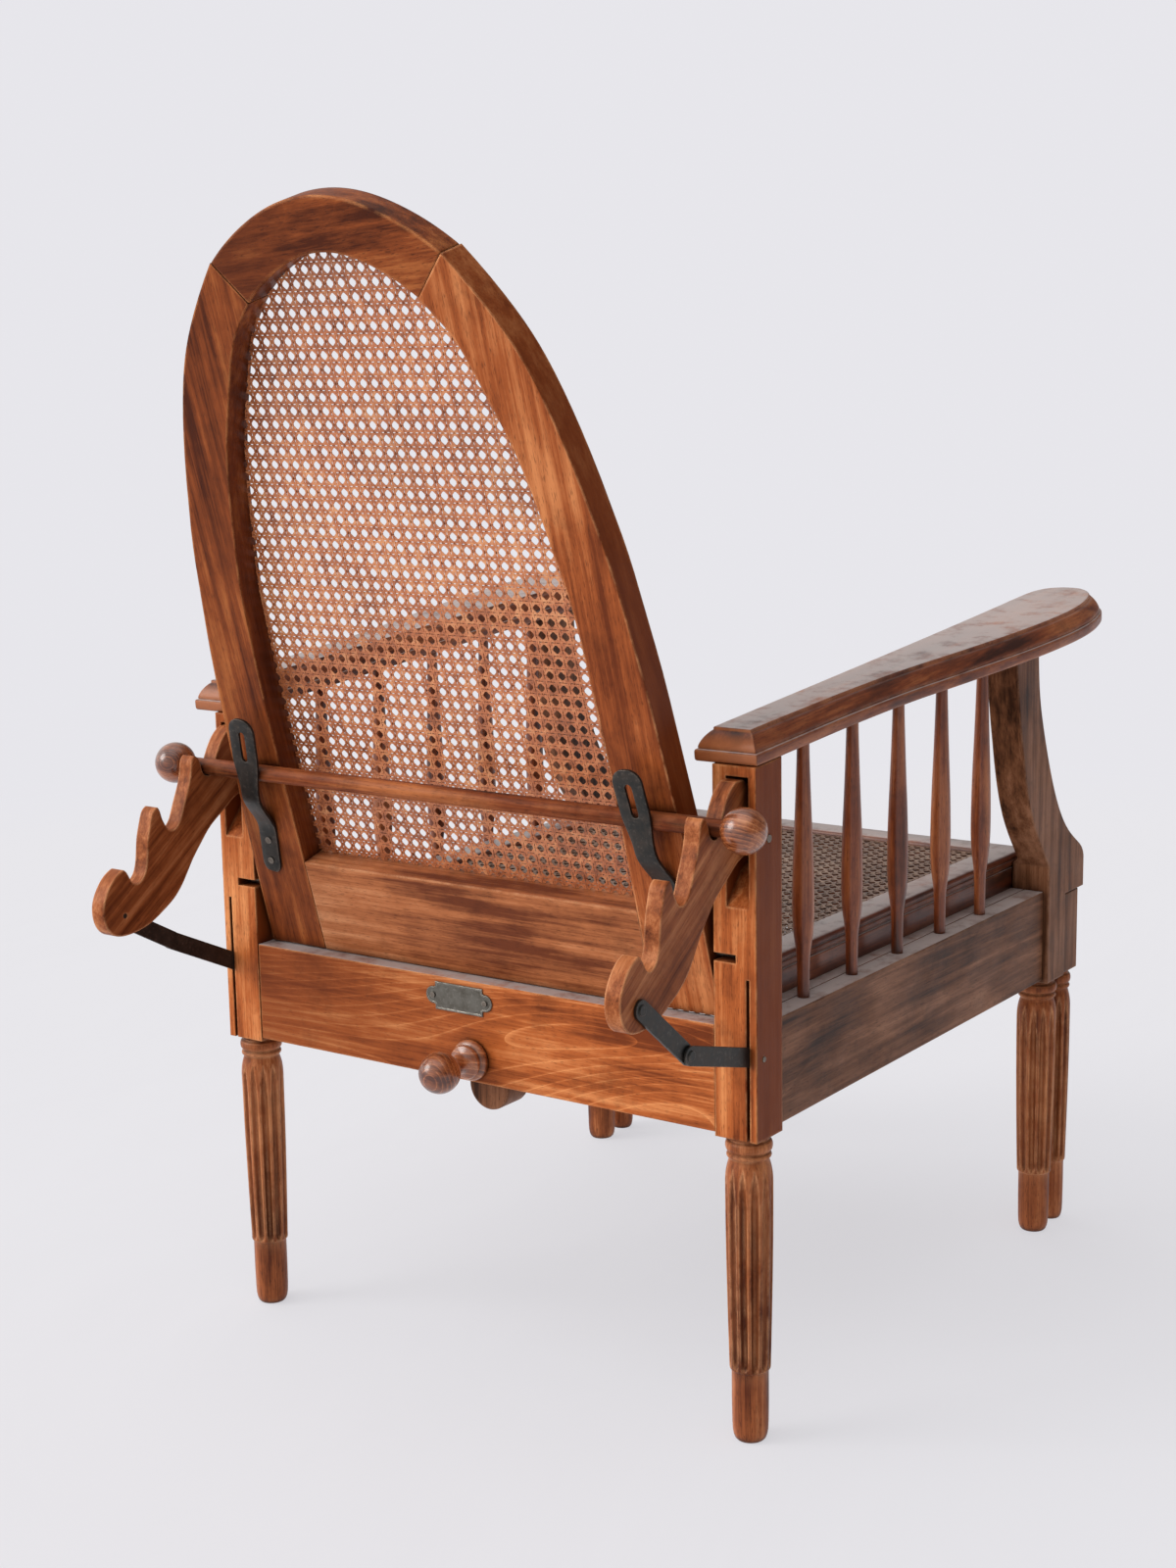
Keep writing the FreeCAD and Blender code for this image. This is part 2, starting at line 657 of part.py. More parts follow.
# Iron straps that hold the prop rod against the stiles, from a low point to a slotted top.
strap_rises = {"left": ((247.0, 52.0), (221.0, 232.0)), "right": ((-247.0, 50.0), (-233.0, 222.0))}
rod_clear = 2 * sizes["rod_radius"] + 2 * gap + 0.2
strap_screws = []
for side_name, (low_point, high_point) in strap_rises.items():
    slant = math.atan2(low_point[0] - high_point[0], high_point[1] - low_point[1])
    length = math.hypot(high_point[0] - low_point[0], high_point[1] - low_point[1])
    thickness = sizes["strap_thickness"]
    half_width = sizes["strap_width"] / 2
    lower_flat = 0.27 * length
    upper_flat = 0.44 * length
    bend = [
        (0.0, 0.0), (lower_flat, 0.0), (upper_flat, -rod_clear), (length, -rod_clear),
        (length, -rod_clear - thickness), (upper_flat - thickness / 2, -rod_clear - thickness),
        (lower_flat - thickness / 2, -thickness), (0.0, -thickness),
    ]
    in_plane = Rotation(Vector(0, 0, 1), math.degrees(slant))
    strap_place = back_place.multiply(Placement(Vector(low_point[0], low_point[1], 0), in_plane))
    side_view = Placement(Vector(-half_width, 0, 0), side_turn)
    name = "strap_" + side_name
    bar = prism(name + "_bar", closed(bend), strap_place.multiply(side_view), "<strap_width>")
    outline = straight([(half_width, half_width), (half_width, length - half_width)])
    outline += disc_end((0, length - half_width), half_width, 0, math.pi)
    outline += straight([(-half_width, length - half_width), (-half_width, half_width)])
    outline += disc_end((0, half_width), half_width, math.pi, 2 * math.pi)
    plan_place = strap_place.multiply(Placement(Vector(0, 0, -2 * rod_clear), Rotation()))
    rounder = prism(name + "_round", outline, plan_place, "4 * <ball_radius>")
    rounded = doc.addObject("Part::Common", name + "_rounded")
    rounded.Base = bar
    rounded.Tool = rounder
    slot_half = half_width * 0.28
    slot_low = length - 4.4 * half_width
    slot_high = length - half_width
    slot = straight([(slot_half, slot_low), (slot_half, slot_high)])
    slot += disc_end((0, slot_high), slot_half, 0, math.pi)
    slot += straight([(-slot_half, slot_high), (-slot_half, slot_low)])
    slot += disc_end((0, slot_low), slot_half, math.pi, 2 * math.pi)
    slot_tool = prism(name + "_slot", slot, plan_place, "4 * <ball_radius>")
    node(cut(name, rounded, [slot_tool]), name)
    for number, share in enumerate((0.07, 0.2)):
        screw = doc.addObject("Part::Cylinder", "%s_screw_%d" % (name, number + 1))
        bind(screw, "Radius", "<screw_radius>")
        bind(screw, "Height", "<screw_height>")
        screw_spot = Vector(0, share * length, -thickness - sizes["screw_height"])
        screw.Placement = strap_place.multiply(Placement(screw_spot, Rotation()))
        strap_screws.append(screw)
node(grouped("strap_screws", strap_screws), "strap_screws")

# Prop rod with a ball on each end.
rod = rod_across("prop_rod", -sizes["rod_length"] / 2, sizes["rod_depth"], sizes["rod_height"],
                 "<rod_radius>", "<rod_length>")
node(rod, "prop_rod")
for side_name, side in sides.items():
    ball = doc.addObject("Part::Sphere", "rod_ball_%s_blank" % side_name)
    bind(ball, "Radius", "<ball_radius>")
    ball.Placement = Placement(Vector(side * sizes["ball_across"], sizes["rod_depth"],
                                      sizes["rod_height"]), Rotation(Vector(0, 0, 1), 90))
    bore = rod_across("rod_ball_%s_bore" % side_name, -sizes["rod_length"] / 2,
                      sizes["rod_depth"], sizes["rod_height"],
                      "<rod_radius> + <running_gap>", "<rod_length>")
    node(cut("rod_ball_" + side_name, ball, [bore]), "rod_ball_" + side_name)

# Toothed racks that hang from the posts and carry the rod in one of three notches.
rack_outline = [
    [(31.0, 635.0), (41.0, 629.0), (50.0, 618.0), (56.0, 607.0), (58.2, 601.0), (59.1, 596.0),
     (62.5, 591.9), (67.6, 590.3), (72.9, 592.0), (76.3, 596.4), (77.8, 602.0), (79.8, 607.5),
     (82.8, 611.5), (86.0, 613.0)],
    [(86.0, 613.0), (90.0, 609.0), (92.0, 600.0), (95.0, 587.0), (101.0, 573.0),
     (107.0, 559.0), (112.0, 549.0), (119.0, 543.8), (127.0, 545.0), (132.0, 551.0),
     (136.0, 559.0), (138.5, 566.5), (141.0, 570.0)],
    [(141.0, 570.0), (147.0, 566.0), (151.0, 557.0), (156.0, 540.0), (160.0, 514.0),
     (167.0, 501.5), (175.0, 498.5), (182.0, 504.0), (187.0, 512.5), (191.0, 516.0)],
    [(191.0, 516.0), (203.0, 510.0), (213.0, 499.0), (219.0, 487.0), (220.0, 474.0),
     (215.0, 460.0), (207.0, 453.0), (198.0, 450.5), (178.0, 451.0), (155.0, 457.0),
     (139.0, 465.0), (123.0, 475.0), (108.0, 491.0), (96.0, 508.0), (82.0, 524.0),
     (68.0, 538.0), (53.0, 548.0), (40.0, 556.5), (31.0, 562.0), (14.0, 565.5),
     (0.0, 563.5), (-10.0, 567.5), (-15.5, 579.0), (-11.0, 591.0), (-4.0, 602.0),
     (3.0, 614.0), (10.0, 626.0), (19.0, 635.0)],
]
rack_pivot = (0.0, sizes["rack_pin_height"])
rack_end = (192.0, 470.0)
drops = {"left": 0.0, "right": math.radians(right_rack_drop_share * 90.0)}
stay_far = sizes["mortise_inner_face"] + sizes["mortise_width"] - gap
post_link_near = stay_far - sizes["stay_thickness"]
rack_link_near = post_link_near - gap - sizes["stay_thickness"]


def knuckle(low_point, high_point):
    span = math.hypot(high_point[0] - low_point[0], high_point[1] - low_point[1])
    slope = math.atan2(high_point[1] - low_point[1], high_point[0] - low_point[0])
    near = sizes["stay_post_length"]
    far = sizes["stay_rack_length"]
    opening = math.acos((near * near + span * span - far * far) / (2 * near * span))
    angle = slope - opening
    return (low_point[0] + near * math.cos(angle), low_point[1] + near * math.sin(angle))


def link_outline(first, second):
    radius = sizes["stay_width"] / 2
    angle = math.atan2(second[1] - first[1], second[0] - first[0])
    off_along = -radius * math.sin(angle)
    off_up = radius * math.cos(angle)
    curves = straight([(first[0] - off_along, first[1] - off_up),
                       (second[0] - off_along, second[1] - off_up)])
    curves += disc_end(second, radius, angle - math.pi / 2, angle + math.pi / 2)
    curves += straight([(second[0] + off_along, second[1] + off_up),
                        (first[0] + off_along, first[1] + off_up)])
    curves += disc_end(first, radius, angle + math.pi / 2, angle + 3 * math.pi / 2)
    return curves


for side_name, side in sides.items():
    drop = drops[side_name]
    outline = []
    for run in rack_outline:
        outline += smooth([rotated(point, rack_pivot, drop) for point in run])
    outline += straight([rotated(rack_outline[-1][-1], rack_pivot, drop),
                         rotated(rack_outline[0][0], rack_pivot, drop)])
    rack_far = sizes["rack_inner_face"] + sizes["rack_thickness"]
    name = "rack_" + side_name
    blank = side_prism(name + "_blank", outline, low_face(side, sizes["rack_inner_face"], rack_far),
                       "<rack_thickness>")
    bore_low = low_face(side, sizes["rack_inner_face"], rack_far)
    pivot_bore = rod_across(name + "_pivot_bore", bore_low, 0.0, sizes["rack_pin_height"],
                            "<rack_pin_radius> + <running_gap>", "<rack_thickness>")
    end_point = rotated(rack_end, rack_pivot, drop)
    end_bore = rod_across(name + "_end_bore", bore_low, end_point[0], end_point[1],
                          "<stay_pin_radius> + <running_gap>", "<rack_thickness>")
    node(cut(name, blank, [pivot_bore, end_bore]), name)

    foot_point = (sizes["stay_pin_depth"], sizes["stay_pin_height"])
    knuckle_point = knuckle(foot_point, end_point)
    name = "stay_post_link_" + side_name
    post_far = post_link_near + sizes["stay_thickness"]
    post_low = low_face(side, post_link_near, post_far)
    blank = side_prism(name + "_blank", link_outline(foot_point, knuckle_point), post_low,
                       "<stay_thickness>")
    eye = rod_across(name + "_eye", post_low, foot_point[0], foot_point[1],
                     "<stay_pin_radius> + <running_gap>", "<stay_thickness>")
    bar = cut(name + "_bar", blank, [eye])
    head_low = low_face(side, post_far, post_far + sizes["screw_height"])
    head = rod_across(name + "_head", head_low, knuckle_point[0], knuckle_point[1],
                      "<screw_radius> + <screw_height>", "<screw_height>")
    node(fused(name, [bar, head]), name)

    name = "stay_rack_link_" + side_name
    link_far = rack_link_near + sizes["stay_thickness"]
    link_low = low_face(side, rack_link_near, link_far)
    bar = side_prism(name + "_bar", link_outline(knuckle_point, end_point), link_low,
                     "<stay_thickness>")
    rivet_near = sizes["rack_inner_face"] + gap
    rivet_low = low_face(side, rivet_near, link_far)
    rivet_length = "%f mm" % (link_far - rivet_near)
    rivet = rod_across(name + "_rivet", rivet_low, end_point[0], end_point[1],
                       "<stay_pin_radius>", rivet_length)
    head_low = low_face(side, link_far, link_far + sizes["screw_height"])
    head = rod_across(name + "_head", head_low, end_point[0], end_point[1],
                      "<screw_radius> + <screw_height>", "<screw_height>")
    node(fused(name, [bar, rivet, head]), name)

# Bare plate and its two screws on the rear rail.
plate_centre = (14.5, 386.0)
ear_reach = 8.0
ear_half = 9.0
half_plate = sizes["plate_length"] / 2
half_tall = sizes["plate_height"] / 2
plate_outline = closed([
    (-half_plate, -half_tall), (half_plate, -half_tall), (half_plate, -ear_half),
    (half_plate + ear_reach, -ear_half / 2), (half_plate + ear_reach, ear_half / 2),
    (half_plate, ear_half), (half_plate, half_tall), (-half_plate, half_tall),
    (-half_plate, ear_half), (-half_plate - ear_reach, ear_half / 2),
    (-half_plate - ear_reach, -ear_half / 2), (-half_plate, -ear_half),
])
plate_face = sizes["rear_rail_rear_face"] + sizes["plate_thickness"]
plate_place = Placement(Vector(plate_centre[0], plate_face, plate_centre[1]), end_turn)
node(prism("label_plate", plate_outline, plate_place, "<plate_thickness>"), "label_plate")
plate_screws = []
for number, direction in enumerate((1, -1)):
    screw = doc.addObject("Part::Cylinder", "plate_screw_%d" % (number + 1))
    bind(screw, "Radius", "<screw_radius> * 0.8")
    bind(screw, "Height", "<screw_height>")
    spot = Vector(plate_centre[0] + direction * half_plate, plate_face + sizes["screw_height"],
                  plate_centre[1])
    screw.Placement = Placement(spot, end_turn)
    plate_screws.append(screw)
node(grouped("plate_screws", plate_screws), "plate_screws")

# Knob with its shaft through the rear rail, and the turn button on the inner end.
knob_face = sizes["rear_rail_rear_face"] + gap
shaft_end = sizes["rear_rail_rear_face"] - sizes["rear_rail_thickness"] - gap
ball_start = sizes["knob_ball_depth"]
knob_radius = sizes["knob_ball_radius"]
knob_profile = [
    (0.0, shaft_end), (sizes["knob_shaft_radius"], shaft_end),
    (sizes["knob_shaft_radius"], knob_face), (19.0, knob_face), (20.5, knob_face + 2.5),
    (20.0, knob_face + 6.0), (15.5, knob_face + 8.0), (17.0, knob_face + 11.0),
    (15.0, knob_face + 14.5), (9.0, knob_face + 18.0), (7.5, knob_face + 23.0),
]
for step in range(13):
    angle = math.radians(-65.0 + step * 155.0 / 12.0)
    knob_profile.append((knob_radius * math.cos(angle) if step < 12 else 0.0,
                         ball_start + knob_radius * math.sin(angle)))
knob_place = Vector(0, 0, sizes["knob_height"])
node(turned("latch_knob", knob_profile, knob_place, Vector(0, 1, 0), Rotation()), "latch_knob")

cam_low = sizes["knob_height"] - sizes["cam_drop"]
cam_radius = sizes["cam_radius"]
cam_outline = straight([(cam_radius, cam_low), (cam_radius, sizes["knob_height"])])
cam_outline += disc_end((0, sizes["knob_height"]), cam_radius, 0, math.pi)
cam_outline += straight([(-cam_radius, sizes["knob_height"]), (-cam_radius, cam_low)])
cam_outline += disc_end((0, cam_low), cam_radius, math.pi, 2 * math.pi)
cam_place = Placement(Vector(0, shaft_end, 0), end_turn)
node(prism("latch_cam", cam_outline, cam_place, "<cam_thickness>"), "latch_cam")

# Leg rest that draws out from under the seat on two runners.
rest_axis = -sizes["rest_axis_depth"]
half_block = sizes["rest_block_width"] / 2
for side_name, side in sides.items():
    across = side * sizes["leg_axis_across"]
    name = "rest_leg_" + side_name
    block = box(name + "_block", (across - half_block, rest_axis - half_block, block_bottom),
                "<rest_block_width>", "<rest_block_width>", "<rest_block_top> - <block_bottom>")
    turned_leg = leg(name + "_turned", across, rest_axis, rest_leg_share)
    node(fused(name, [block, turned_leg]), name)
rest_inner = sizes["leg_axis_across"] - half_block
rest_rail_rear = rest_axis + sizes["rest_rail_thickness"] / 2
node(box("rest_front_rail", (-rest_inner, rest_rail_rear - sizes["rest_rail_thickness"],
                             sizes["rest_rail_bottom"]),
         "2 * <leg_axis_across> - <rest_block_width>", "<rest_rail_thickness>",
         "<rest_rail_height>"), "rest_front_rail")
runner_length = "<rest_axis_depth> - <rest_rail_thickness> / 2 - <runner_rear_depth>"
for side_name, side in sides.items():
    runner_far = sizes["runner_inner_face"] + sizes["runner_width"]
    runner_low = (low_face(side, sizes["runner_inner_face"], runner_far), rest_rail_rear,
                  sizes["runner_bottom"])
    name = "rest_runner_" + side_name
    node(box(name, runner_low, "<runner_width>", runner_length, "<runner_height>"), name)
rest_rear_low = -sizes["runner_rear_depth"] - sizes["rest_rail_thickness"]
node(box("rest_rear_rail", (-sizes["runner_inner_face"], rest_rear_low, sizes["runner_bottom"]),
         "2 * <runner_inner_face>", "<rest_rail_thickness>", "<runner_height>"), "rest_rear_rail")
rest_half = sizes["runner_inner_face"]
rest_edge = closed([(-rest_half, rest_rail_rear), (rest_half, rest_rail_rear),
                    (rest_half, rest_rear_low), (-rest_half, rest_rear_low)])
rest_cane_height = sizes["runner_bottom"] + sizes["runner_height"] - 4 * sizes["cane_thickness"]
node(holed_sheet("rest_cane", rest_edge, Placement(Vector(0, 0, rest_cane_height), Rotation()),
                 seat_pitch, box_test(-rest_half, rest_half, rest_rail_rear, rest_rear_low)),
     "rest_cane")

doc.recompute()
os.makedirs("parts", exist_ok=True)
faults = []
for item in doc.Objects:
    if "Invalid" in item.State or "Error" in item.State:
        faults.append(item.Name)
for item in nodes:
    if item.Shape.isNull() or not item.Shape.isValid():
        faults.append(item.Label)
if faults:
    raise RuntimeError("not sound: " + ", ".join(faults))
middle_move = Vector(-sizes["middle_across"], sizes["middle_depth"], 0)
for item in nodes:
    shape = item.Shape.copy()
    shape.translate(middle_move)
    shape.exportStep("parts/%s.step" % item.Label)
print("%d nodes written" % len(nodes))
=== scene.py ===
import math

import bmesh
import bpy
from mathutils import Matrix, Vector


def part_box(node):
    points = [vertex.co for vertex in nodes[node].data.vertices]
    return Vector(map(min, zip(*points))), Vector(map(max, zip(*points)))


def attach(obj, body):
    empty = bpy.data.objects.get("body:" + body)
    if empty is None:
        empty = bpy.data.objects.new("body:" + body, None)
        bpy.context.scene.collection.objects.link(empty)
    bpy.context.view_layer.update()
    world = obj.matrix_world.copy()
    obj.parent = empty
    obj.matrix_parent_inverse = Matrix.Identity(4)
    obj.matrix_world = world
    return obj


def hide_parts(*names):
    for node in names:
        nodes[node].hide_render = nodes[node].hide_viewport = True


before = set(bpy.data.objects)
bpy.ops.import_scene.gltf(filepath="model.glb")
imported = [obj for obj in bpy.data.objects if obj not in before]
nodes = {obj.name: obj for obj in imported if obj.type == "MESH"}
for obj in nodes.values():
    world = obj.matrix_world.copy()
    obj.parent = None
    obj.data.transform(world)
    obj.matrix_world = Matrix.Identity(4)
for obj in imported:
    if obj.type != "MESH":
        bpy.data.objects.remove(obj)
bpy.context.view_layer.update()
MM = 0.001


def drawn(across, along, up):
    """A place measured from the rear leg axes, moved to the part's own origin, in metres."""
    return Vector((across - 15.0, along + 249.8, up)) * MM


# Node graphs: a socket that does arithmetic, and one method that makes any node.
class Socket:
    """A node's output. Arithmetic on it adds Math nodes to its graph."""

    def __init__(self, graph, link):
        self.graph = graph
        self.link = link

    def maths(self, operation, *values):
        inputs = dict(enumerate(values))
        return self.graph.add("ShaderNodeMath", {"operation": operation}, inputs)["Value"]

    def __add__(self, other):
        return self.maths("ADD", self, other)

    __radd__ = __add__

    def __sub__(self, other):
        return self.maths("SUBTRACT", self, other)

    def __rsub__(self, other):
        return self.maths("SUBTRACT", other, self)

    def __mul__(self, other):
        return self.maths("MULTIPLY", self, other)

    __rmul__ = __mul__

    def __truediv__(self, other):
        return self.maths("DIVIDE", self, other)

    def __pow__(self, other):
        return self.maths("POWER", self, other)


class Made:
    """A node whose outputs are picked by name or number."""

    def __init__(self, graph, node):
        self.graph = graph
        self.node = node

    def __getitem__(self, key):
        return Socket(self.graph, self.node.outputs[key])


class Graph:
    """A shader or geometry node tree that is written as calls."""

    def __init__(self, tree):
        self.tree = tree

    def add(self, kind, settings=None, inputs=None):
        node = self.tree.nodes.new(kind)
        for key, value in (settings or {}).items():
            if key == "stops":
                self.set_stops(node.color_ramp, value)
            elif key == "points":
                self.set_points(node.mapping, value)
            else:
                setattr(node, key, value)
        for key, value in (inputs or {}).items():
            self.feed(node.inputs[key], value)
        return Made(self, node)

    def feed(self, socket, value):
        for item in value if isinstance(value, list) else [value]:
            if isinstance(item, Socket):
                self.tree.links.new(item.link, socket)
            else:
                socket.default_value = item

    def set_stops(self, ramp, stops):
        while len(ramp.elements) < len(stops):
            ramp.elements.new(0.5)
        for element, (position, colour) in zip(ramp.elements, stops):
            element.position = position
            element.color = (*colour, 1.0)

    def set_points(self, mapping, points):
        curve = mapping.curves[0]
        while len(curve.points) < len(points):
            curve.points.new(0.5, 0.5)
        for point, place in zip(curve.points, points):
            point.location = place
        mapping.update()

    def mix(self, amount, first, second):
        settings = {"data_type": "RGBA"}
        return self.add("ShaderNodeMix", settings, {0: amount, 6: first, 7: second})[2]

    def noise(self, place, scale, detail=2.0, roughness=0.5, distortion=0.0):
        inputs = {"Vector": place, "Scale": scale, "Detail": detail, "Roughness": roughness,
                  "Distortion": distortion}
        return self.add("ShaderNodeTexNoise", {}, inputs)["Fac"]

    def spread(self, value, low, high):
        inputs = {"Value": value, "From Min": low, "From Max": high}
        return self.add("ShaderNodeMapRange", {"clamp": True}, inputs)["Result"]

    def stretched(self, place, factors):
        inputs = {0: place, 1: factors}
        return self.add("ShaderNodeVectorMath", {"operation": "MULTIPLY"}, inputs)["Vector"]


def new_finish(name):
    material = bpy.data.materials.new(name)
    material.use_nodes = True
    material.node_tree.nodes.clear()
    return material, Graph(material.node_tree)


def surface(graph, colour, roughness, metallic=0.0, normal=None, coat=0.0, coat_roughness=0.25,
            shine=0.5):
    inputs = {"Base Color": colour, "Roughness": roughness, "Metallic": metallic,
              "Coat Weight": coat, "Coat Roughness": coat_roughness, "Specular IOR Level": shine}
    if normal is not None:
        inputs["Normal"] = normal
    shader = graph.add("ShaderNodeBsdfPrincipled", {}, inputs)["BSDF"]
    graph.add("ShaderNodeOutputMaterial", {}, {"Surface": shader})


def edge_mask(graph, radius):
    """1 near sharp edges, 0 on the flats, and the rounded normal that goes with it."""
    rounded = graph.add("ShaderNodeBevel", {"samples": 4}, {"Radius": radius})["Normal"]
    true_normal = graph.add("ShaderNodeNewGeometry")["True Normal"]
    inputs = {0: rounded, 1: true_normal}
    settings = {"operation": "DOT_PRODUCT"}
    likeness = graph.add("ShaderNodeVectorMath", settings, inputs)["Value"]
    return graph.spread(1.0 - likeness, 0.006, 0.075), rounded


def facing(graph, axis, low, high):
    """1 on faces that look along an axis, either way for X, 0 on the rest."""
    normal = graph.add("ShaderNodeTexCoord")["Normal"]
    part = graph.add("ShaderNodeSeparateXYZ", {}, {"Vector": normal})[axis]
    if axis == "X":
        part = part.maths("ABSOLUTE", part)
    return graph.spread(part, low, high)


def stained_wood(name, tones, grain, shift=0.0, lines=1.0, gloss=0.36, wear=0.6, dust_and_sheen=0.0,
                 shine=0.11, figure=0.3, sides=0.0, coat=0.0, run=0.16, fade=None, lit_end_grain=0.0):
    """Growth lines as pale contours, fibres, pores, darker stain, rubbed arrises, dust with painted
    sheen on upward faces, painted shade in hollows and on side faces, and painted light on
    rear-facing ends.
    """
    dark, middle, light = tones
    material, graph = new_finish(name)
    place = graph.add("ShaderNodeTexCoord")["Object"]
    turn = Vector(grain).rotation_difference(Vector((0, 0, 1))).to_euler()
    inputs = {"Vector": place, "Rotation": tuple(turn), "Location": (shift, 0.7 * shift, shift)}
    board = graph.add("ShaderNodeMapping", {}, inputs)["Vector"]
    field = graph.noise(graph.stretched(board, (1, 1, run)), 5.2, 1.6, 0.42, 0.5)
    growth = (field * (34.0 * lines)).maths("FRACT", field * (34.0 * lines))
    pale_line = growth ** 9.0
    fibres = graph.noise(graph.stretched(board, (1, 1, 0.02)), 560.0, 3.0, 0.6)
    streaks = graph.noise(graph.stretched(board, (1, 1, 0.05)), 85.0, 3.0, 0.6)
    flecks = graph.noise(graph.stretched(board, (1, 1, 0.1)), 1250.0, 1.0, 0.5)
    ripple = graph.noise(graph.stretched(board, (0.6, 0.6, 0.9)), 70.0, 3.0, 0.65)
    clouds = graph.noise(graph.stretched(board, (1, 1, 0.4)), 9.5, 5.0, 0.62)
    tone = clouds * 1.8 + streaks * 1.35 + fibres * 0.5 + ripple * 0.12
    tone = tone + pale_line * figure - growth * (figure * 0.35) - 1.39
    stops = [(0.14, dark), (0.5, middle), (0.9, light)]
    colour = graph.add("ShaderNodeValToRGB", {"stops": stops}, {"Fac": tone})["Color"]
    pores = graph.spread(flecks, 0.6, 0.72)
    shade = (*[0.3 * part for part in dark], 1.0)
    colour = graph.mix(pores * 0.55, colour, shade)
    stain = graph.spread(graph.noise(board, 15.0, 6.0, 0.7), 0.54, 0.76)
    colour = graph.mix(stain * 0.5, colour, shade)
    if fade:
        across = graph.add("ShaderNodeSeparateXYZ", {}, {"Vector": place})["X"]
        colour = graph.mix(graph.spread(across, fade[0], fade[1]) * fade[2], colour,
                           (*dark, 1.0))
    # Painted light, partly lighter end grain: faces that look toward the rear are mixed toward the
    # light tone.
    if lit_end_grain:
        colour = graph.mix(facing(graph, "Y", 0.7, 0.95) * lit_end_grain, colour, (*light, 1.0))
    # Painted shade: faces that look along X either way are darkened toward the dark tone.
    if sides:
        colour = graph.mix(facing(graph, "X", 0.6, 0.95) * sides, colour, (*dark, 1.0))
    edges, rounded = edge_mask(graph, 3.2 * MM)
    worn_part = graph.spread(graph.noise(board, 38.0, 4.0, 0.65), 0.38, 0.6)
    pale = (min(1.0, light[0] * 1.25 + 0.06), light[1] * 1.5 + 0.03, light[2] * 1.7 + 0.02, 1.0)
    colour = graph.mix(edges * worn_part * wear, colour, pale)
    # Painted shade: ambient occlusion darkens grooves, hollows and the wood round joints; at the
    # joints it also stands for grime.
    inputs = {"Distance": 11.0 * MM}
    openness = graph.add("ShaderNodeAmbientOcclusion", {"samples": 4}, inputs)["AO"]
    darkening = 1.0 - graph.spread(openness, 0.25, 0.85)
    colour = graph.mix(darkening * 0.85, colour, (*[0.25 * part for part in dark], 1.0))
    # Dust with painted sheen: upward faces are mixed toward a pale grey-pink that stands for both.
    if dust_and_sheen:
        settled_dust_and_sheen = facing(graph, "Z", 0.75, 0.95)
        settled_dust_and_sheen = settled_dust_and_sheen * graph.spread(graph.noise(place, 32.0, 5.0, 0.7), 0.22, 0.5)
        colour = graph.mix(settled_dust_and_sheen * dust_and_sheen, colour, (0.50, 0.435, 0.42, 1.0))
    dull = graph.noise(board, 26.0, 3.0, 0.6)
    roughness = dull * 0.26 + fibres * 0.12 + (gloss - 0.12)
    height = fibres * 0.5 + pale_line * 0.12 - pores * 0.4
    inputs = {"Strength": 0.34, "Distance": 0.5 * MM, "Height": height, "Normal": rounded}
    bump = graph.add("ShaderNodeBump", {}, inputs)["Normal"]
    surface(graph, colour, roughness, normal=bump, coat=coat, coat_roughness=0.16, shine=shine)
    return material


def woven_cane(name, dark, middle, light, darkening):
    material, graph = new_finish(name)
    place = graph.add("ShaderNodeTexCoord")["Object"]
    broad = graph.noise(place, 5.0, 3.0, 0.6)
    strands = graph.noise(place, 95.0, 3.0, 0.65)
    fine = graph.noise(place, 1400.0, 2.0, 0.6)
    tone = broad * 0.5 + strands * 1.0 + fine * 0.25 - 0.38
    stops = [(0.22, dark), (0.5, middle), (0.8, light)]
    colour = graph.add("ShaderNodeValToRGB", {"stops": stops}, {"Fac": tone})["Color"]
    soiled = graph.spread(graph.noise(place, 9.0, 4.0, 0.65), 0.5, 0.75)
    colour = graph.mix(soiled * darkening, colour, (*[0.4 * part for part in dark], 1.0))
    inputs = {"Strength": 0.3, "Distance": 0.2 * MM, "Height": fine}
    bump = graph.add("ShaderNodeBump", {}, inputs)["Normal"]
    surface(graph, colour, strands * 0.25 + 0.3, normal=bump, coat=0.15)
    return material


def worn_iron(name, base, rust, bright, wear):
    material, graph = new_finish(name)
    place = graph.add("ShaderNodeTexCoord")["Object"]
    mottle = graph.noise(place, 85.0, 4.0, 0.65)
    spots = graph.spread(graph.noise(place, 260.0, 3.0, 0.6), 0.56, 0.7)
    colour = graph.mix(graph.spread(mottle, 0.4, 0.75), (*base, 1.0), (*rust, 1.0))
    edges, rounded = edge_mask(graph, 0.8 * MM)
    scuffed = edges * graph.spread(mottle, 0.4, 0.6) * wear + spots * 0.18
    colour = graph.mix(scuffed, colour, (*bright, 1.0))
    inputs = {"Strength": 0.4, "Distance": 0.3 * MM, "Height": mottle, "Normal": rounded}
    bump = graph.add("ShaderNodeBump", {}, inputs)["Normal"]
    surface(graph, colour, mottle * 0.35 + 0.24, metallic=0.75, normal=bump)
    return material


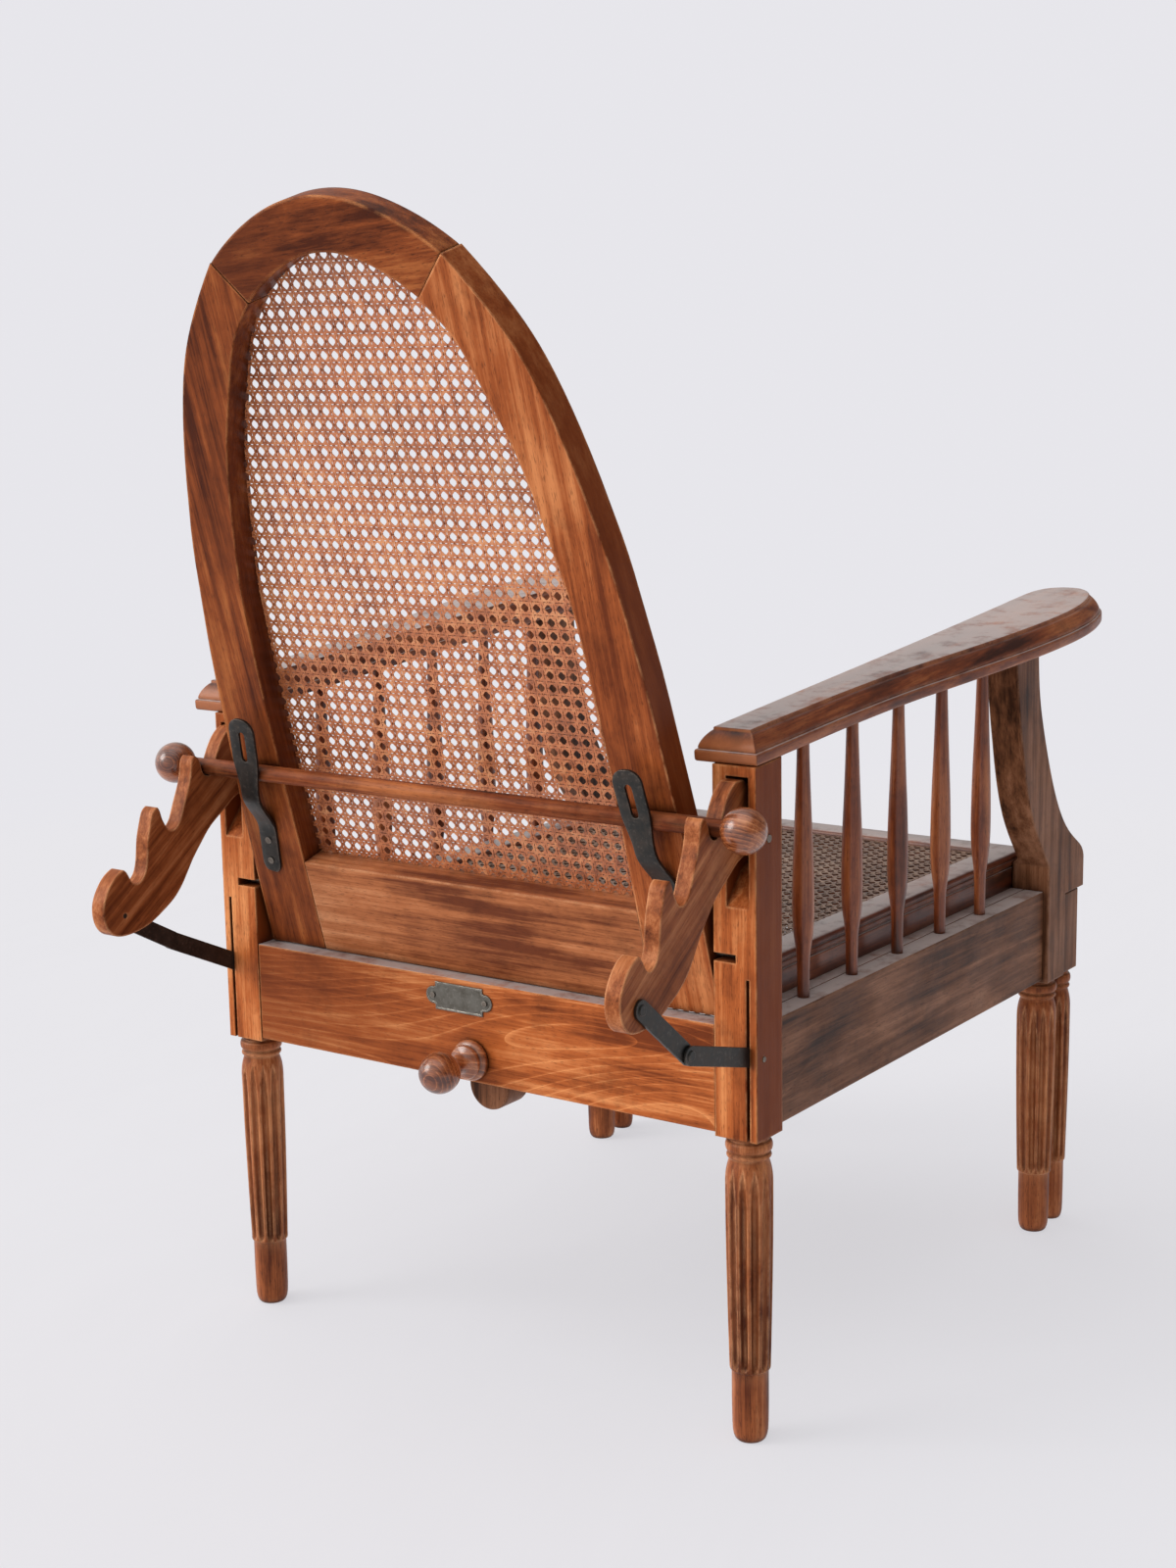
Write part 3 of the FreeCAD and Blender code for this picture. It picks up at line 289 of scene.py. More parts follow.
AMBER = ((0.170, 0.034, 0.007), (0.450, 0.112, 0.026), (0.780, 0.300, 0.105))
HONEY = ((0.150, 0.030, 0.007), (0.360, 0.088, 0.022), (0.640, 0.230, 0.080))
RUSSET = ((0.150, 0.036, 0.012), (0.430, 0.140, 0.050), (0.660, 0.280, 0.125))
CHESTNUT = ((0.090, 0.018, 0.005), (0.330, 0.092, 0.028), (0.620, 0.240, 0.095))
RUST = ((0.070, 0.013, 0.003), (0.245, 0.056, 0.013), (0.500, 0.160, 0.044))
RED = ((0.045, 0.009, 0.003), (0.200, 0.044, 0.012), (0.440, 0.140, 0.045))
DEEP = ((0.028, 0.006, 0.003), (0.120, 0.024, 0.008), (0.300, 0.085, 0.030))
BROWN = ((0.040, 0.014, 0.006), (0.170, 0.066, 0.030), (0.330, 0.150, 0.080))
ALONG_X = (1, 0, 0)
ALONG_Y = (0, 1, 0)
UPRIGHT = (0, 0, 1)
TILT = math.radians(16.18)
UP_THE_BACK = (0, math.sin(TILT), math.cos(TILT))

amber_rail = stained_wood("amber_rail_wood", AMBER, ALONG_X, 0.31, 1.7, dust_and_sheen=0.95, figure=0.42,
                          run=0.2, fade=(-0.1, 0.3, 0.72))
amber_stile = stained_wood("amber_stile_wood", HONEY, UP_THE_BACK, 0.12, 0.7, figure=0.1, run=0.1,
                           wear=1.0, sides=0.75)
red_arch = stained_wood("red_arch_wood", RUST, (1, 0.05, -0.1), 0.44, 0.8, figure=0.1, wear=1.0,
                        sides=0.6, fade=(-0.02, 0.13, 0.75))
red_stile = stained_wood("red_stile_wood", RUST, UP_THE_BACK, 0.61, 0.7, figure=0.1, run=0.1,
                         wear=0.9, sides=0.5)
chestnut_cross = stained_wood("chestnut_cross_wood", RUSSET, ALONG_X, 0.77, 0.6, figure=0.1)
red_cross = stained_wood("red_cross_wood", RED, ALONG_X, 0.77, 0.6, figure=0.12)
red_post = stained_wood("red_post_wood", BROWN, UPRIGHT, 0.21, 0.8, figure=0.12)
amber_post = stained_wood("amber_post_wood", AMBER, UPRIGHT, 0.91, 0.8, figure=0.1, sides=0.85,
                          run=0.1)
red_turned = stained_wood("red_turned_wood", CHESTNUT, UPRIGHT, 0.52, 0.5, 0.32, 0.75, shine=0.16,
                          figure=0.08)
deep_turned = stained_wood("deep_turned_wood", RED, UPRIGHT, 0.82, 0.5, 0.26, 0.6, shine=0.35,
                           figure=0.08, coat=0.35)
brown_arm = stained_wood("brown_arm_wood", RED, (0, 1, -0.08), 0.15, 0.8, 0.4, 0.7, 0.8, 0.4,
                         0.12, coat=0.1, lit_end_grain=0.8)
brown_rail = stained_wood("brown_rail_wood", BROWN, ALONG_Y, 0.85, 0.9, 0.42, 0.6, 0.8, 0.2, 0.2)
brown_seat = stained_wood("brown_seat_wood", DEEP, ALONG_Y, 0.35, 0.7, 0.28, 0.7, 0.75, 0.4, 0.1,
                          coat=0.2)
brown_seat_cross = stained_wood("brown_seat_cross_wood", DEEP, ALONG_X, 0.65, 0.7, 0.28, 0.7,
                                0.75, 0.4, 0.1, coat=0.2)
polished_ball = stained_wood("polished_ball_wood", CHESTNUT, (1, 0.3, 0.2), 0.05, 3.2, 0.2, 0.2,
                             shine=0.45, figure=0.7, coat=0.8)
red_rack = stained_wood("red_rack_wood", CHESTNUT, (0, 0.82, -0.57), 0.27, 0.8, wear=1.0,
                        figure=0.1, sides=0.22)
honey_cane = woven_cane("honey_cane", (0.21, 0.055, 0.018), (0.53, 0.168, 0.062),
                        (0.81, 0.38, 0.17), 0.35)
aged_cane = woven_cane("aged_cane", (0.09, 0.045, 0.03), (0.24, 0.14, 0.095), (0.42, 0.29, 0.21),
                       0.5)
black_iron = worn_iron("black_iron", (0.030, 0.030, 0.028), (0.06, 0.048, 0.04),
                       (0.24, 0.2, 0.17), 0.7)
screw_steel = worn_iron("screw_steel", (0.2, 0.17, 0.14), (0.09, 0.065, 0.05),
                        (0.6, 0.56, 0.5), 0.9)
plate_metal = worn_iron("plate_metal", (0.15, 0.14, 0.12), (0.08, 0.07, 0.055),
                        (0.5, 0.47, 0.42), 1.0)


# Mesh helpers. Every finished piece sits at the origin with its place in its mesh.
def finished(name, mesh, material, body, stands_for=(), sharp=35.0):
    if not mesh.has_custom_normals:
        mesh.shade_smooth()
        mesh.set_sharp_from_angle(angle=math.radians(sharp))
    mesh.materials.clear()
    mesh.materials.append(material)
    piece = bpy.data.objects.new(name, mesh)
    bpy.context.scene.collection.objects.link(piece)
    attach(piece, body)
    if stands_for:
        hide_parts(*stands_for)
    return piece


def mesh_from(name, points, faces):
    mesh = bpy.data.meshes.new(name)
    mesh.from_pydata([tuple(point) for point in points], [], faces)
    shaped = bmesh.new()
    shaped.from_mesh(mesh)
    bmesh.ops.remove_doubles(shaped, verts=shaped.verts, dist=0.00001)
    bmesh.ops.recalc_face_normals(shaped, faces=shaped.faces)
    shaped.to_mesh(mesh)
    shaped.free()
    return mesh


def flattened(name, mesh, modifiers):
    """The mesh after the modifiers, as a plain mesh."""
    maker = bpy.data.objects.new(name + "_maker", mesh)
    bpy.context.scene.collection.objects.link(maker)
    for kind, settings in modifiers:
        modifier = maker.modifiers.new(kind.lower(), kind)
        for key, value in settings.items():
            setattr(modifier, key, value)
    evaluated = maker.evaluated_get(bpy.context.evaluated_depsgraph_get())
    result = bpy.data.meshes.new_from_object(evaluated)
    bpy.data.objects.remove(maker)
    result.name = name
    return result


def block_mesh(name, low, high):
    corners = [Vector((across, along, up)) for across in (low.x, high.x)
               for along in (low.y, high.y) for up in (low.z, high.z)]
    faces = [(0, 1, 3, 2), (4, 6, 7, 5), (0, 4, 5, 1), (2, 3, 7, 6), (0, 2, 6, 4), (1, 5, 7, 3)]
    return mesh_from(name, corners, faces)


def rounded_copy(node_name, width, segments=2, above=None, reshape=None, cutter=None,
                 arris=None, arris_width=0.0):
    """A copy of a rigid node's mesh, merged into clean faces, with its sharp edges rounded."""
    shaped = bmesh.new()
    shaped.from_mesh(nodes[node_name].data)
    bmesh.ops.remove_doubles(shaped, verts=shaped.verts, dist=0.00002)
    if above is not None:
        geometry = shaped.verts[:] + shaped.edges[:] + shaped.faces[:]
        bmesh.ops.bisect_plane(shaped, geom=geometry, plane_co=(0, 0, above),
                               plane_no=(0, 0, 1), clear_inner=True, dist=0.000001)
        rim = [edge for edge in shaped.edges if edge.is_boundary]
        bmesh.ops.holes_fill(shaped, edges=rim, sides=0)
    bmesh.ops.dissolve_limit(shaped, angle_limit=math.radians(1.0), verts=shaped.verts,
                             edges=shaped.edges)
    for corner in shaped.verts if reshape else ():
        corner.co = reshape(corner.co)
    if arris:
        shaped.normal_update()
        chosen = [edge for edge in shaped.edges if arris(edge)]
        bmesh.ops.bevel(shaped, geom=chosen, offset=arris_width, segments=6, profile=0.5,
                        affect="EDGES", clamp_overlap=True)
    mesh = bpy.data.meshes.new(node_name + "_round")
    shaped.to_mesh(mesh)
    shaped.free()
    mesh.shade_smooth()
    changes = []
    if cutter:
        tool = bpy.data.objects.new("cutter", block_mesh("cutter", *cutter))
        bpy.context.scene.collection.objects.link(tool)
        changes.append(("BOOLEAN", {"operation": "DIFFERENCE", "object": tool}))
    changes.append(("BEVEL", {"width": width, "segments": segments, "limit_method": "ANGLE",
                              "angle_limit": math.radians(38)}))
    changes.append(("WEIGHTED_NORMAL", {"weight": 100, "keep_sharp": True}))
    result = flattened(node_name + "_round", mesh, changes)
    if cutter:
        bpy.data.objects.remove(tool)
    return result


def lathe(name, profile, base, axis, around=40, radius_at=None):
    """A turned form: radius and height pairs in millimetres about an axis through base."""
    axis = Vector(axis).normalized()
    side = axis.orthogonal().normalized() if abs(axis.z) < 0.9 else Vector((1, 0, 0))
    third = axis.cross(side)
    points = []
    faces = []
    for radius, height in profile:
        for number in range(around):
            angle = 2 * math.pi * number / around
            reach = radius_at(radius, height, angle) if radius_at else radius
            direction = side * math.cos(angle) + third * math.sin(angle)
            points.append(Vector(base) + (direction * reach + axis * height) * MM)
    for ring in range(len(profile) - 1):
        for number in range(around):
            low = ring * around
            following = (number + 1) % around
            faces.append((low + number, low + following, low + around + following,
                          low + around + number))
    return mesh_from(name, points, faces)


def smooth_path(points, steps=8):
    """Points on a smooth curve through the given ones."""
    result = []
    last = len(points) - 1
    for number in range(last):
        before = Vector(points[max(0, number - 1)])
        start = Vector(points[number])
        end = Vector(points[number + 1])
        after = Vector(points[min(last, number + 2)])
        for step in range(steps):
            part = step / steps
            result.append(0.5 * ((2 * start) + (end - before) * part
                                 + (2 * before - 5 * start + 4 * end - after) * part ** 2
                                 + (3 * start - before - 3 * end + after) * part ** 3))
    result.append(Vector(points[-1]))
    return result


def grown(name, mesh, tree, values, material):
    """A geometry node tree run on a mesh, as a plain mesh."""
    maker = bpy.data.objects.new(name + "_maker", mesh)
    modifier = maker.modifiers.new("growth", "NODES")
    modifier.node_group = tree
    values = dict(values, Finish=material)
    for item in tree.interface.items_tree:
        if item.item_type == "SOCKET" and item.in_out == "INPUT" and item.name in values:
            modifier[item.identifier] = values[item.name]
    bpy.context.scene.collection.objects.link(maker)
    evaluated = maker.evaluated_get(bpy.context.evaluated_depsgraph_get())
    result = bpy.data.meshes.new_from_object(evaluated)
    maker.modifiers.remove(modifier)
    bpy.data.objects.remove(maker)
    result.name = name
    return result


def new_tree(name, inputs):
    tree = bpy.data.node_groups.new(name, "GeometryNodeTree")
    tree.interface.new_socket(name="Geometry", in_out="INPUT", socket_type="NodeSocketGeometry")
    for input_name, kind, value in inputs:
        socket = tree.interface.new_socket(name=input_name, in_out="INPUT", socket_type=kind)
        if value is not None:
            socket.default_value = value
    tree.interface.new_socket(name="Finish", in_out="INPUT", socket_type="NodeSocketMaterial")
    tree.interface.new_socket(name="Geometry", in_out="OUTPUT", socket_type="NodeSocketGeometry")
    graph = Graph(tree)
    return tree, graph, graph.add("NodeGroupInput")


def end_tree(graph, entry, geometry):
    solid = graph.add("GeometryNodeRealizeInstances", {}, {"Geometry": geometry})["Geometry"]
    inputs = {"Geometry": solid, "Material": entry["Finish"]}
    finished_geometry = graph.add("GeometryNodeSetMaterial", {}, inputs)["Geometry"]
    graph.add("NodeGroupOutput", {}, {"Geometry": finished_geometry})


def combine(graph, across=0.0, along=0.0, up=0.0):
    return graph.add("ShaderNodeCombineXYZ", {}, {"X": across, "Y": along, "Z": up})["Vector"]


# Six-way cane: pairs both ways and a diagonal each way, kept where the panel's face lies below.
def cane_tree():
    tree, graph, entry = new_tree("six_way_cane", [
        ("Pitch", "NodeSocketFloat", 0.013),
        ("Reach", "NodeSocketFloat", 0.4),
        ("Strand Width", "NodeSocketFloat", 0.002),
        ("Strand Thickness", "NodeSocketFloat", 0.0006),
        ("Pair Gap", "NodeSocketFloat", 0.0027),
        ("Weave Depth", "NodeSocketFloat", 0.0005),
    ])
    pitch = entry["Pitch"]
    families = []
    for turn, spacing_share, shift_share, gap_sign, phase, width_share in (
            (0.0, 1.0, 0.0, 1, 0.0, 1.0), (0.0, 1.0, 0.0, -1, 1.0, 1.0),
            (90.0, 1.0, 0.0, 1, 1.0, 1.0), (90.0, 1.0, 0.0, -1, 0.0, 1.0),
            (45.0, math.sqrt(0.5), 0.5, 0, 0.5, 1.2), (-45.0, math.sqrt(0.5), 0.5, 0, 1.5, 1.2)):
        spacing = pitch * spacing_share
        rows = (entry["Reach"] / spacing).maths("FLOOR", entry["Reach"] / spacing)
        first = (rows * -1.0 + shift_share) * spacing + entry["Pair Gap"] * (0.5 * gap_sign)
        rack = graph.add("GeometryNodeMeshLine", {}, {
            "Count": rows * 2.0 + 1.0,
            "Start Location": combine(graph, first),
            "Offset": combine(graph, spacing),
        })["Mesh"]
        steps = spacing * 0.5 if not shift_share else spacing
        half_count = (entry["Reach"] / steps).maths("FLOOR", entry["Reach"] / steps)
        half_length = half_count * steps
        strand = graph.add("GeometryNodeCurvePrimitiveLine", {}, {
            "Start": combine(graph, 0.0, half_length * -1.0),
            "End": combine(graph, 0.0, half_length),
        })["Curve"]
        strand = graph.add("GeometryNodeResampleCurve", {},
                           {"Curve": strand, "Count": half_count * 2.0 + 1.0})["Curve"]
        strands = graph.add("GeometryNodeInstanceOnPoints", {},
                            {"Points": rack, "Instance": strand})["Instances"]
        strands = graph.add("GeometryNodeRealizeInstances", {}, {"Geometry": strands})["Geometry"]
        place = graph.add("GeometryNodeInputPosition")["Position"]
        parts = graph.add("ShaderNodeSeparateXYZ", {}, {"Vector": place})
        swing = (parts["Y"] / steps + phase) * math.pi
        lift = swing.maths("COSINE", swing) * entry["Weave Depth"]
        inputs = {"Geometry": strands, "Offset": combine(graph, 0.0, 0.0, lift)}
        strands = graph.add("GeometryNodeSetPosition", {}, inputs)["Geometry"]
        strands = graph.add("GeometryNodeTransform", {}, {
            "Geometry": strands, "Rotation": (0.0, 0.0, math.radians(turn))})["Geometry"]
        above = graph.add("ShaderNodeVectorMath", {"operation": "ADD"},
                          {0: place, 1: (0.0, 0.0, 0.1)})["Vector"]
        met = graph.add("GeometryNodeRaycast", {}, {
            "Target Geometry": entry["Geometry"], "Source Position": above,
            "Ray Direction": (0.0, 0.0, -1.0), "Ray Length": 0.3})["Is Hit"]
        outside = graph.add("FunctionNodeBooleanMath", {"operation": "NOT"}, {0: met})["Boolean"]
        strands = graph.add("GeometryNodeDeleteGeometry", {"domain": "POINT"},
                            {"Geometry": strands, "Selection": outside})["Geometry"]
        strands = graph.add("GeometryNodeSetCurveNormal", {"mode": "Z_UP"},
                            {"Curve": strands})["Curve"]
        outline = graph.add("GeometryNodeCurvePrimitiveQuadrilateral", {}, {
            "Width": entry["Strand Width"] * width_share,
            "Height": entry["Strand Thickness"]})["Curve"]
        families.append(graph.add("GeometryNodeCurveToMesh", {},
                                  {"Curve": strands, "Profile Curve": outline,
                                   "Fill Caps": True})["Mesh"])
    everything = graph.add("GeometryNodeJoinGeometry", {}, {"Geometry": families})["Geometry"]
    end_tree(graph, entry, everything)
    return tree


weave = cane_tree()
CANE_PITCH = 13.0
CANE_TUCK = 4.0


def cane_panel(name, outline, place, pitch, reach, material, body):
    """Cane over a flat outline in millimetres, moved to its place."""
    face = bpy.data.meshes.new(name + "_face")
    face.from_pydata([(across * MM, along * MM, 0.0) for across, along in outline], [],
                     [list(range(len(outline)))])
    values = {"Pitch": pitch * MM, "Reach": reach * MM, "Strand Width": 1.7 * MM,
              "Strand Thickness": 0.6 * MM, "Pair Gap": 2.7 * MM, "Weave Depth": 0.45 * MM}
    mesh = grown(name, face, weave, values, material)
    mesh.transform(place)
    finished(name + "_weave", mesh, material, body, [name], 50.0)


back_place = Matrix.Translation(drawn(0, 12.36, 440.0)) @ Matrix.Rotation(
    math.pi / 2 - TILT, 4, "X")
BACK_INNER = [
    (203.0, 66.0), (203.0, 160.0), (202.0, 240.0), (199.0, 313.0), (195.0, 366.0),
    (187.0, 415.0), (176.0, 471.0), (163.0, 517.0), (144.0, 566.0), (125.0, 607.0),
    (113.0, 623.0), (97.0, 640.0), (76.0, 656.0), (57.0, 667.0), (38.0, 675.5), (18.0, 681.0),
    (0.0, 682.5),
]
inner_curve = [(point[0], point[1]) for point in smooth_path(BACK_INNER, 4)]
grown_inner = []
ROUND_FROM = 200.0
for across, along in inner_curve:
    stretch = 1.0 + 7.0 / max(60.0, math.hypot(across, along - ROUND_FROM))
    lifted = ROUND_FROM + (along - ROUND_FROM) * stretch if along > ROUND_FROM else along
    grown_inner.append((across * stretch, lifted))
grown_inner = [(grown_inner[0][0], 60.0)] + grown_inner
panel_outline = grown_inner + [(-across, along) for across, along in grown_inner[-2::-1]]
BACK_MIDDLE = 370.0
CANE_FORWARD = 26.0
cane_place = (back_place @ Matrix.Translation(Vector((0, 0, CANE_FORWARD * MM)))
              @ Matrix.Translation(Vector((0, BACK_MIDDLE * MM, 0))))
shifted_outline = [(across, along - BACK_MIDDLE) for across, along in panel_outline]
cane_panel("back_cane", shifted_outline, cane_place, CANE_PITCH, 430.0, honey_cane, "back")


def flat_panel(name, reach, body):
    """Cane over the box of a level panel, run a little under its frame."""
    low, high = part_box(name)
    half = (high - low) / 2 / MM
    wide, deep = half.x + CANE_TUCK, half.y + CANE_TUCK
    outline = [(-wide, -deep), (wide, -deep), (wide, deep), (-wide, deep)]
    cane_panel(name, outline, Matrix.Translation((low + high) / 2), CANE_PITCH, reach, aged_cane,
               body)


flat_panel("seat_cane", 370.0, "frame")
flat_panel("rest_cane", 390.0, "leg_rest")


# Turned and fluted legs under the posts and the leg rest.
LEG_PROFILE = [
    (0.0, 0.0), (11.0, 0.0), (13.2, 0.7), (14.7, 2.4), (15.9, 5.5), (16.7, 10.0), (17.1, 18.0),
    (17.4, 40.0), (17.4, 69.5), (17.9, 70.8), (19.0, 71.6), (19.3, 73.0),
]
LEG_PROFILE += [(19.3 + 2.9 * math.sin(math.pi / 2 * step / 56.0), 73.0 + 179.0 * step / 56.0)
                for step in range(1, 57)]
LEG_PROFILE += [(22.2, 255.0), (22.1, 259.0), (21.8, 263.0), (21.3, 266.5), (20.6, 270.0),
                (19.8, 273.0), (19.0, 275.5), (18.7, 277.0), (18.7, 278.2), (19.6, 278.8),
                (20.6, 279.6), (21.0, 281.0), (20.6, 282.4), (19.6, 283.2), (18.9, 283.8),
                (18.9, 284.8), (20.2, 285.4), (21.4, 286.8), (22.0, 289.2), (22.0, 291.4),
                (21.4, 293.8), (20.2, 295.2), (19.0, 295.8), (18.8, 297.4), (18.8, 300.3)]


FLUTES = 12
FLUTE_LOW = 72.9
FLUTE_HIGH = 268.0
FLUTE_DEPTH = 4.2
FLUTE_SHARE = 0.66


def fluted(radius, height, angle):
    """The radius with its flutes cut in, narrowed to a point at each end."""
    if not FLUTE_LOW < height < FLUTE_HIGH:
        return radius
    width = min(1.0, math.sqrt(max(0.0, (FLUTE_HIGH - height) / 34.0)))
    width = min(width, math.sqrt(max(0.0, (height - FLUTE_LOW) / 5.0)))
    turn_share = (angle / (2 * math.pi) * FLUTES) % 1.0
    across = (turn_share - 0.5) * 2.0 / (FLUTE_SHARE * max(width, 0.01))
    if abs(across) >= 1.0:
        return radius
    return radius - FLUTE_DEPTH * width * (1.0 - across ** 2) ** 0.7


def leg(name, across, depth, share=1.0):
    profile = [(radius * share, height) for radius, height in LEG_PROFILE]
    return lathe(name, profile, drawn(across, depth, 0), (0, 0, 1), 168, fluted)


LEG_ACROSS = 302.4
FRONT_LEG = -629.0
REST_LEG = -675.0
REST_LEG_SHARE = 0.85
BLOCK_FOOT = 300.2
SIDES = {"left": 1, "right": -1}
for side_name, side in SIDES.items():
    for row, depth, material in (("rear", 0.0, amber_post), ("front", FRONT_LEG, red_post)):
        node_name = "post_%s_%s" % (row, side_name)
        turned = leg(node_name + "_turned", side * LEG_ACROSS, depth)
        finished(node_name + "_leg", turned, red_turned, "frame", (), 28.0)
        cutter = None
        if row == "front":
            inner = drawn(side * (LEG_ACROSS - 13.9), -490.0, 434.0)
            beyond = drawn(side * (LEG_ACROSS - 33.0), -740.0, 720.0)
            cutter = (Vector((min(inner.x, beyond.x), beyond.y, inner.z)),
                      Vector((max(inner.x, beyond.x), inner.y, beyond.z)))
        block = rounded_copy(node_name, 1.0 * MM, 2, above=BLOCK_FOOT * MM, cutter=cutter)
        finished(node_name + "_block", block, material, "frame", [node_name])
    node_name = "rest_leg_" + side_name
    block = rounded_copy(node_name, 1.1 * MM, 2, above=BLOCK_FOOT * MM)
    turned = leg(node_name + "_turned", side * LEG_ACROSS, REST_LEG, REST_LEG_SHARE)
    finished(node_name + "_block", block, red_post, "leg_rest", [node_name])
    finished(node_name + "_leg", turned, red_turned, "leg_rest", (), 28.0)


# Spindles: one turned form, set along the rail and stretched to reach the rising arm.
def spindle_tree():
    tree, graph, entry = new_tree("spindle_row", [
        ("Count", "NodeSocketInt", 5),
        ("Pitch", "NodeSocketFloat", 0.094),
        ("First Height", "NodeSocketFloat", 0.25),
        ("Height Rise", "NodeSocketFloat", 0.0075),
        ("Belly Radius", "NodeSocketFloat", 0.0105),
    ])
    row = graph.add("GeometryNodeMeshLine", {}, {
        "Count": entry["Count"], "Offset": combine(graph, 0.0, entry["Pitch"] * -1.0)})["Mesh"]
    blank = graph.add("GeometryNodeMeshCylinder", {}, {
        "Vertices": 32, "Side Segments": 56, "Radius": 1.0, "Depth": 1.0})["Mesh"]
    place = graph.add("GeometryNodeInputPosition")["Position"]
    parts = graph.add("ShaderNodeSeparateXYZ", {}, {"Vector": place})
    height = parts["Z"] + 0.5
    points = [(0.0, 0.57), (0.1, 0.57), (0.15, 0.6), (0.2, 0.74), (0.27, 0.93), (0.34, 1.0),
              (0.43, 0.985), (0.55, 0.91), (0.7, 0.76), (0.85, 0.63), (0.94, 0.57), (1.0, 0.56)]
    reach = graph.add("ShaderNodeFloatCurve", {"points": points}, {"Value": height})["Value"]
    reach = reach * entry["Belly Radius"]
    shaped = combine(graph, parts["X"] * reach, parts["Y"] * reach, height)
    blank = graph.add("GeometryNodeSetPosition", {},
                      {"Geometry": blank, "Position": shaped})["Geometry"]
    number = graph.add("GeometryNodeInputIndex")["Index"]
    tall = entry["First Height"] + entry["Height Rise"] * number
    spindles = graph.add("GeometryNodeInstanceOnPoints", {}, {
        "Points": row, "Instance": blank, "Scale": combine(graph, 1.0, 1.0, tall)})["Instances"]
    end_tree(graph, entry, spindles)
    return tree


spindles = spindle_tree()
for side_name, side in SIDES.items():
    names = ["spindle_%s_%d" % (side_name, number) for number in range(1, 6)]
    low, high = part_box(names[0])
    last_low, last_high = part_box(names[4])
    values = {"Count": 5, "Pitch": (low.y - last_low.y) / 4,
              "First Height": high.z - low.z + 0.5 * MM,
              "Height Rise": (last_high.z - high.z) / 4, "Belly Radius": 10.5 * MM}
    mesh = grown("spindles_" + side_name, bpy.data.meshes.new("row"), spindles, values, deep_turned)
    mesh.transform(Matrix.Translation(((low.x + high.x) / 2, (low.y + high.y) / 2, low.z)))
    finished("spindles_" + side_name, mesh, deep_turned, "frame", names)


# Arms: a rounded band, a groove, then a sloping moulding up to the flat top; square rear corners.
ARM_EDGE = [
    (324.7, 20.0), (325.6, -20.0), (327.0, -69.0), (330.0, -156.0), (337.0, -250.0),
    (350.0, -345.0), (361.0, -430.0), (368.0, -510.0), (369.0, -580.0), (362.0, -638.0),
    (346.0, -688.0), (322.0, -716.0), (296.0, -722.0), (272.0, -712.0), (259.0, -690.0),
    (255.0, -655.0), (257.0, -560.0), (259.0, -420.0), (260.0, -250.0), (260.0, -20.0),
    (260.0, 20.0),
]
ARM_LAYERS = [(3.0, 0.0), (1.2, 0.3), (0.3, 1.4), (0.0, 3.4), (0.0, 8.8), (0.3, 10.2), (1.1, 11.0),
              (2.3, 11.3), (2.8, 11.9), (2.5, 12.6), (2.6, 13.6), (3.3, 15.6), (4.7, 18.4),
              (6.6, 21.2), (8.9, 23.8), (11.3, 26.0), (12.9, 27.0), (13.2, 27.4), (13.3, 29.2),
              (13.9, 29.8), (16.2, 30.0)]
ARM_SLOPE = 0.08
ARM_OUTSET = {"left": 30.0, "right": 0.0}


def inset_edge(edge, inset):
    """The closed edge moved inward, with its square corners kept square."""
    result = []
    count = len(edge)
    for number in range(count):
        before = (edge[number] - edge[number - 1]).normalized()
        after = (edge[(number + 1) % count] - edge[number]).normalized()
        inward = (Vector((-before.y, before.x)) + Vector((-after.y, after.x))).normalized()
        lean = max(0.5, inward.dot(Vector((-after.y, after.x))))
        result.append(edge[number] + inward * (inset / lean))
    return result


ARM_UNDERSIDE = 646.3
arm_turn = Matrix.Rotation(-math.atan(ARM_SLOPE), 4, "X")
for side_name, side in SIDES.items():
    arm_origin = drawn(ARM_OUTSET[side_name], 0, ARM_UNDERSIDE + ARM_SLOPE * 22.65)
    edge = [ARM_EDGE[0]] + smooth_path(ARM_EDGE[1:-1], 8) + [ARM_EDGE[-1]]
    curve = [Vector((side * spot[0], spot[1])) for spot in edge]
    area_twice = sum(a.x * b.y - b.x * a.y for a, b in zip(curve, curve[1:] + curve[:1]))
    if area_twice < 0:
        curve.reverse()
    points = []
    faces = []
    count = len(curve)
    for inset, height in ARM_LAYERS:
        for spot in inset_edge(curve, inset):
            points.append(arm_origin + arm_turn @ (Vector((spot.x, spot.y, height)) * MM))
    for layer in range(len(ARM_LAYERS) - 1):
        for number in range(count):
            low = layer * count
            following = (number + 1) % count
            faces.append((low + number, low + following, low + count + following,
                          low + count + number))
    faces.append(tuple(range(count)))
    top = (len(ARM_LAYERS) - 1) * count
    faces.append(tuple(range(top, top + count)))
    mesh = mesh_from("arm_" + side_name, points, faces)
    finished("arm_%s_moulded" % side_name, mesh, brown_arm, "frame", ["arm_" + side_name],
             32.0)

# Seat frame: mitred members with a bead and a rounded lip on the outside.
SEAT_PROFILE = [(38.0, 405.6), (0.0, 405.6), (0.0, 427.6), (0.5, 428.4), (1.8, 428.8), (1.9, 430.2)]
SEAT_PROFILE += [(1.9 - 2.2 * math.sin(math.radians(20 * step)),
                  433.4 - 3.0 * math.cos(math.radians(20 * step))) for step in range(1, 9)]
SEAT_PROFILE += [(1.9, 436.6), (2.0, 438.0), (0.6, 438.4)]
SEAT_PROFILE += [(0.2 + 5.4 * (1 - math.cos(math.radians(15 * step))),
                  438.6 + 5.4 * math.sin(math.radians(15 * step))) for step in range(7)]
SEAT_PROFILE += [(33.0, 444.0), (35.5, 443.4), (37.2, 441.6), (38.0, 438.0)]
HALF_SEAT = 279.6
SEAT_REAR = -52.0
SEAT_FRONT = -652.0


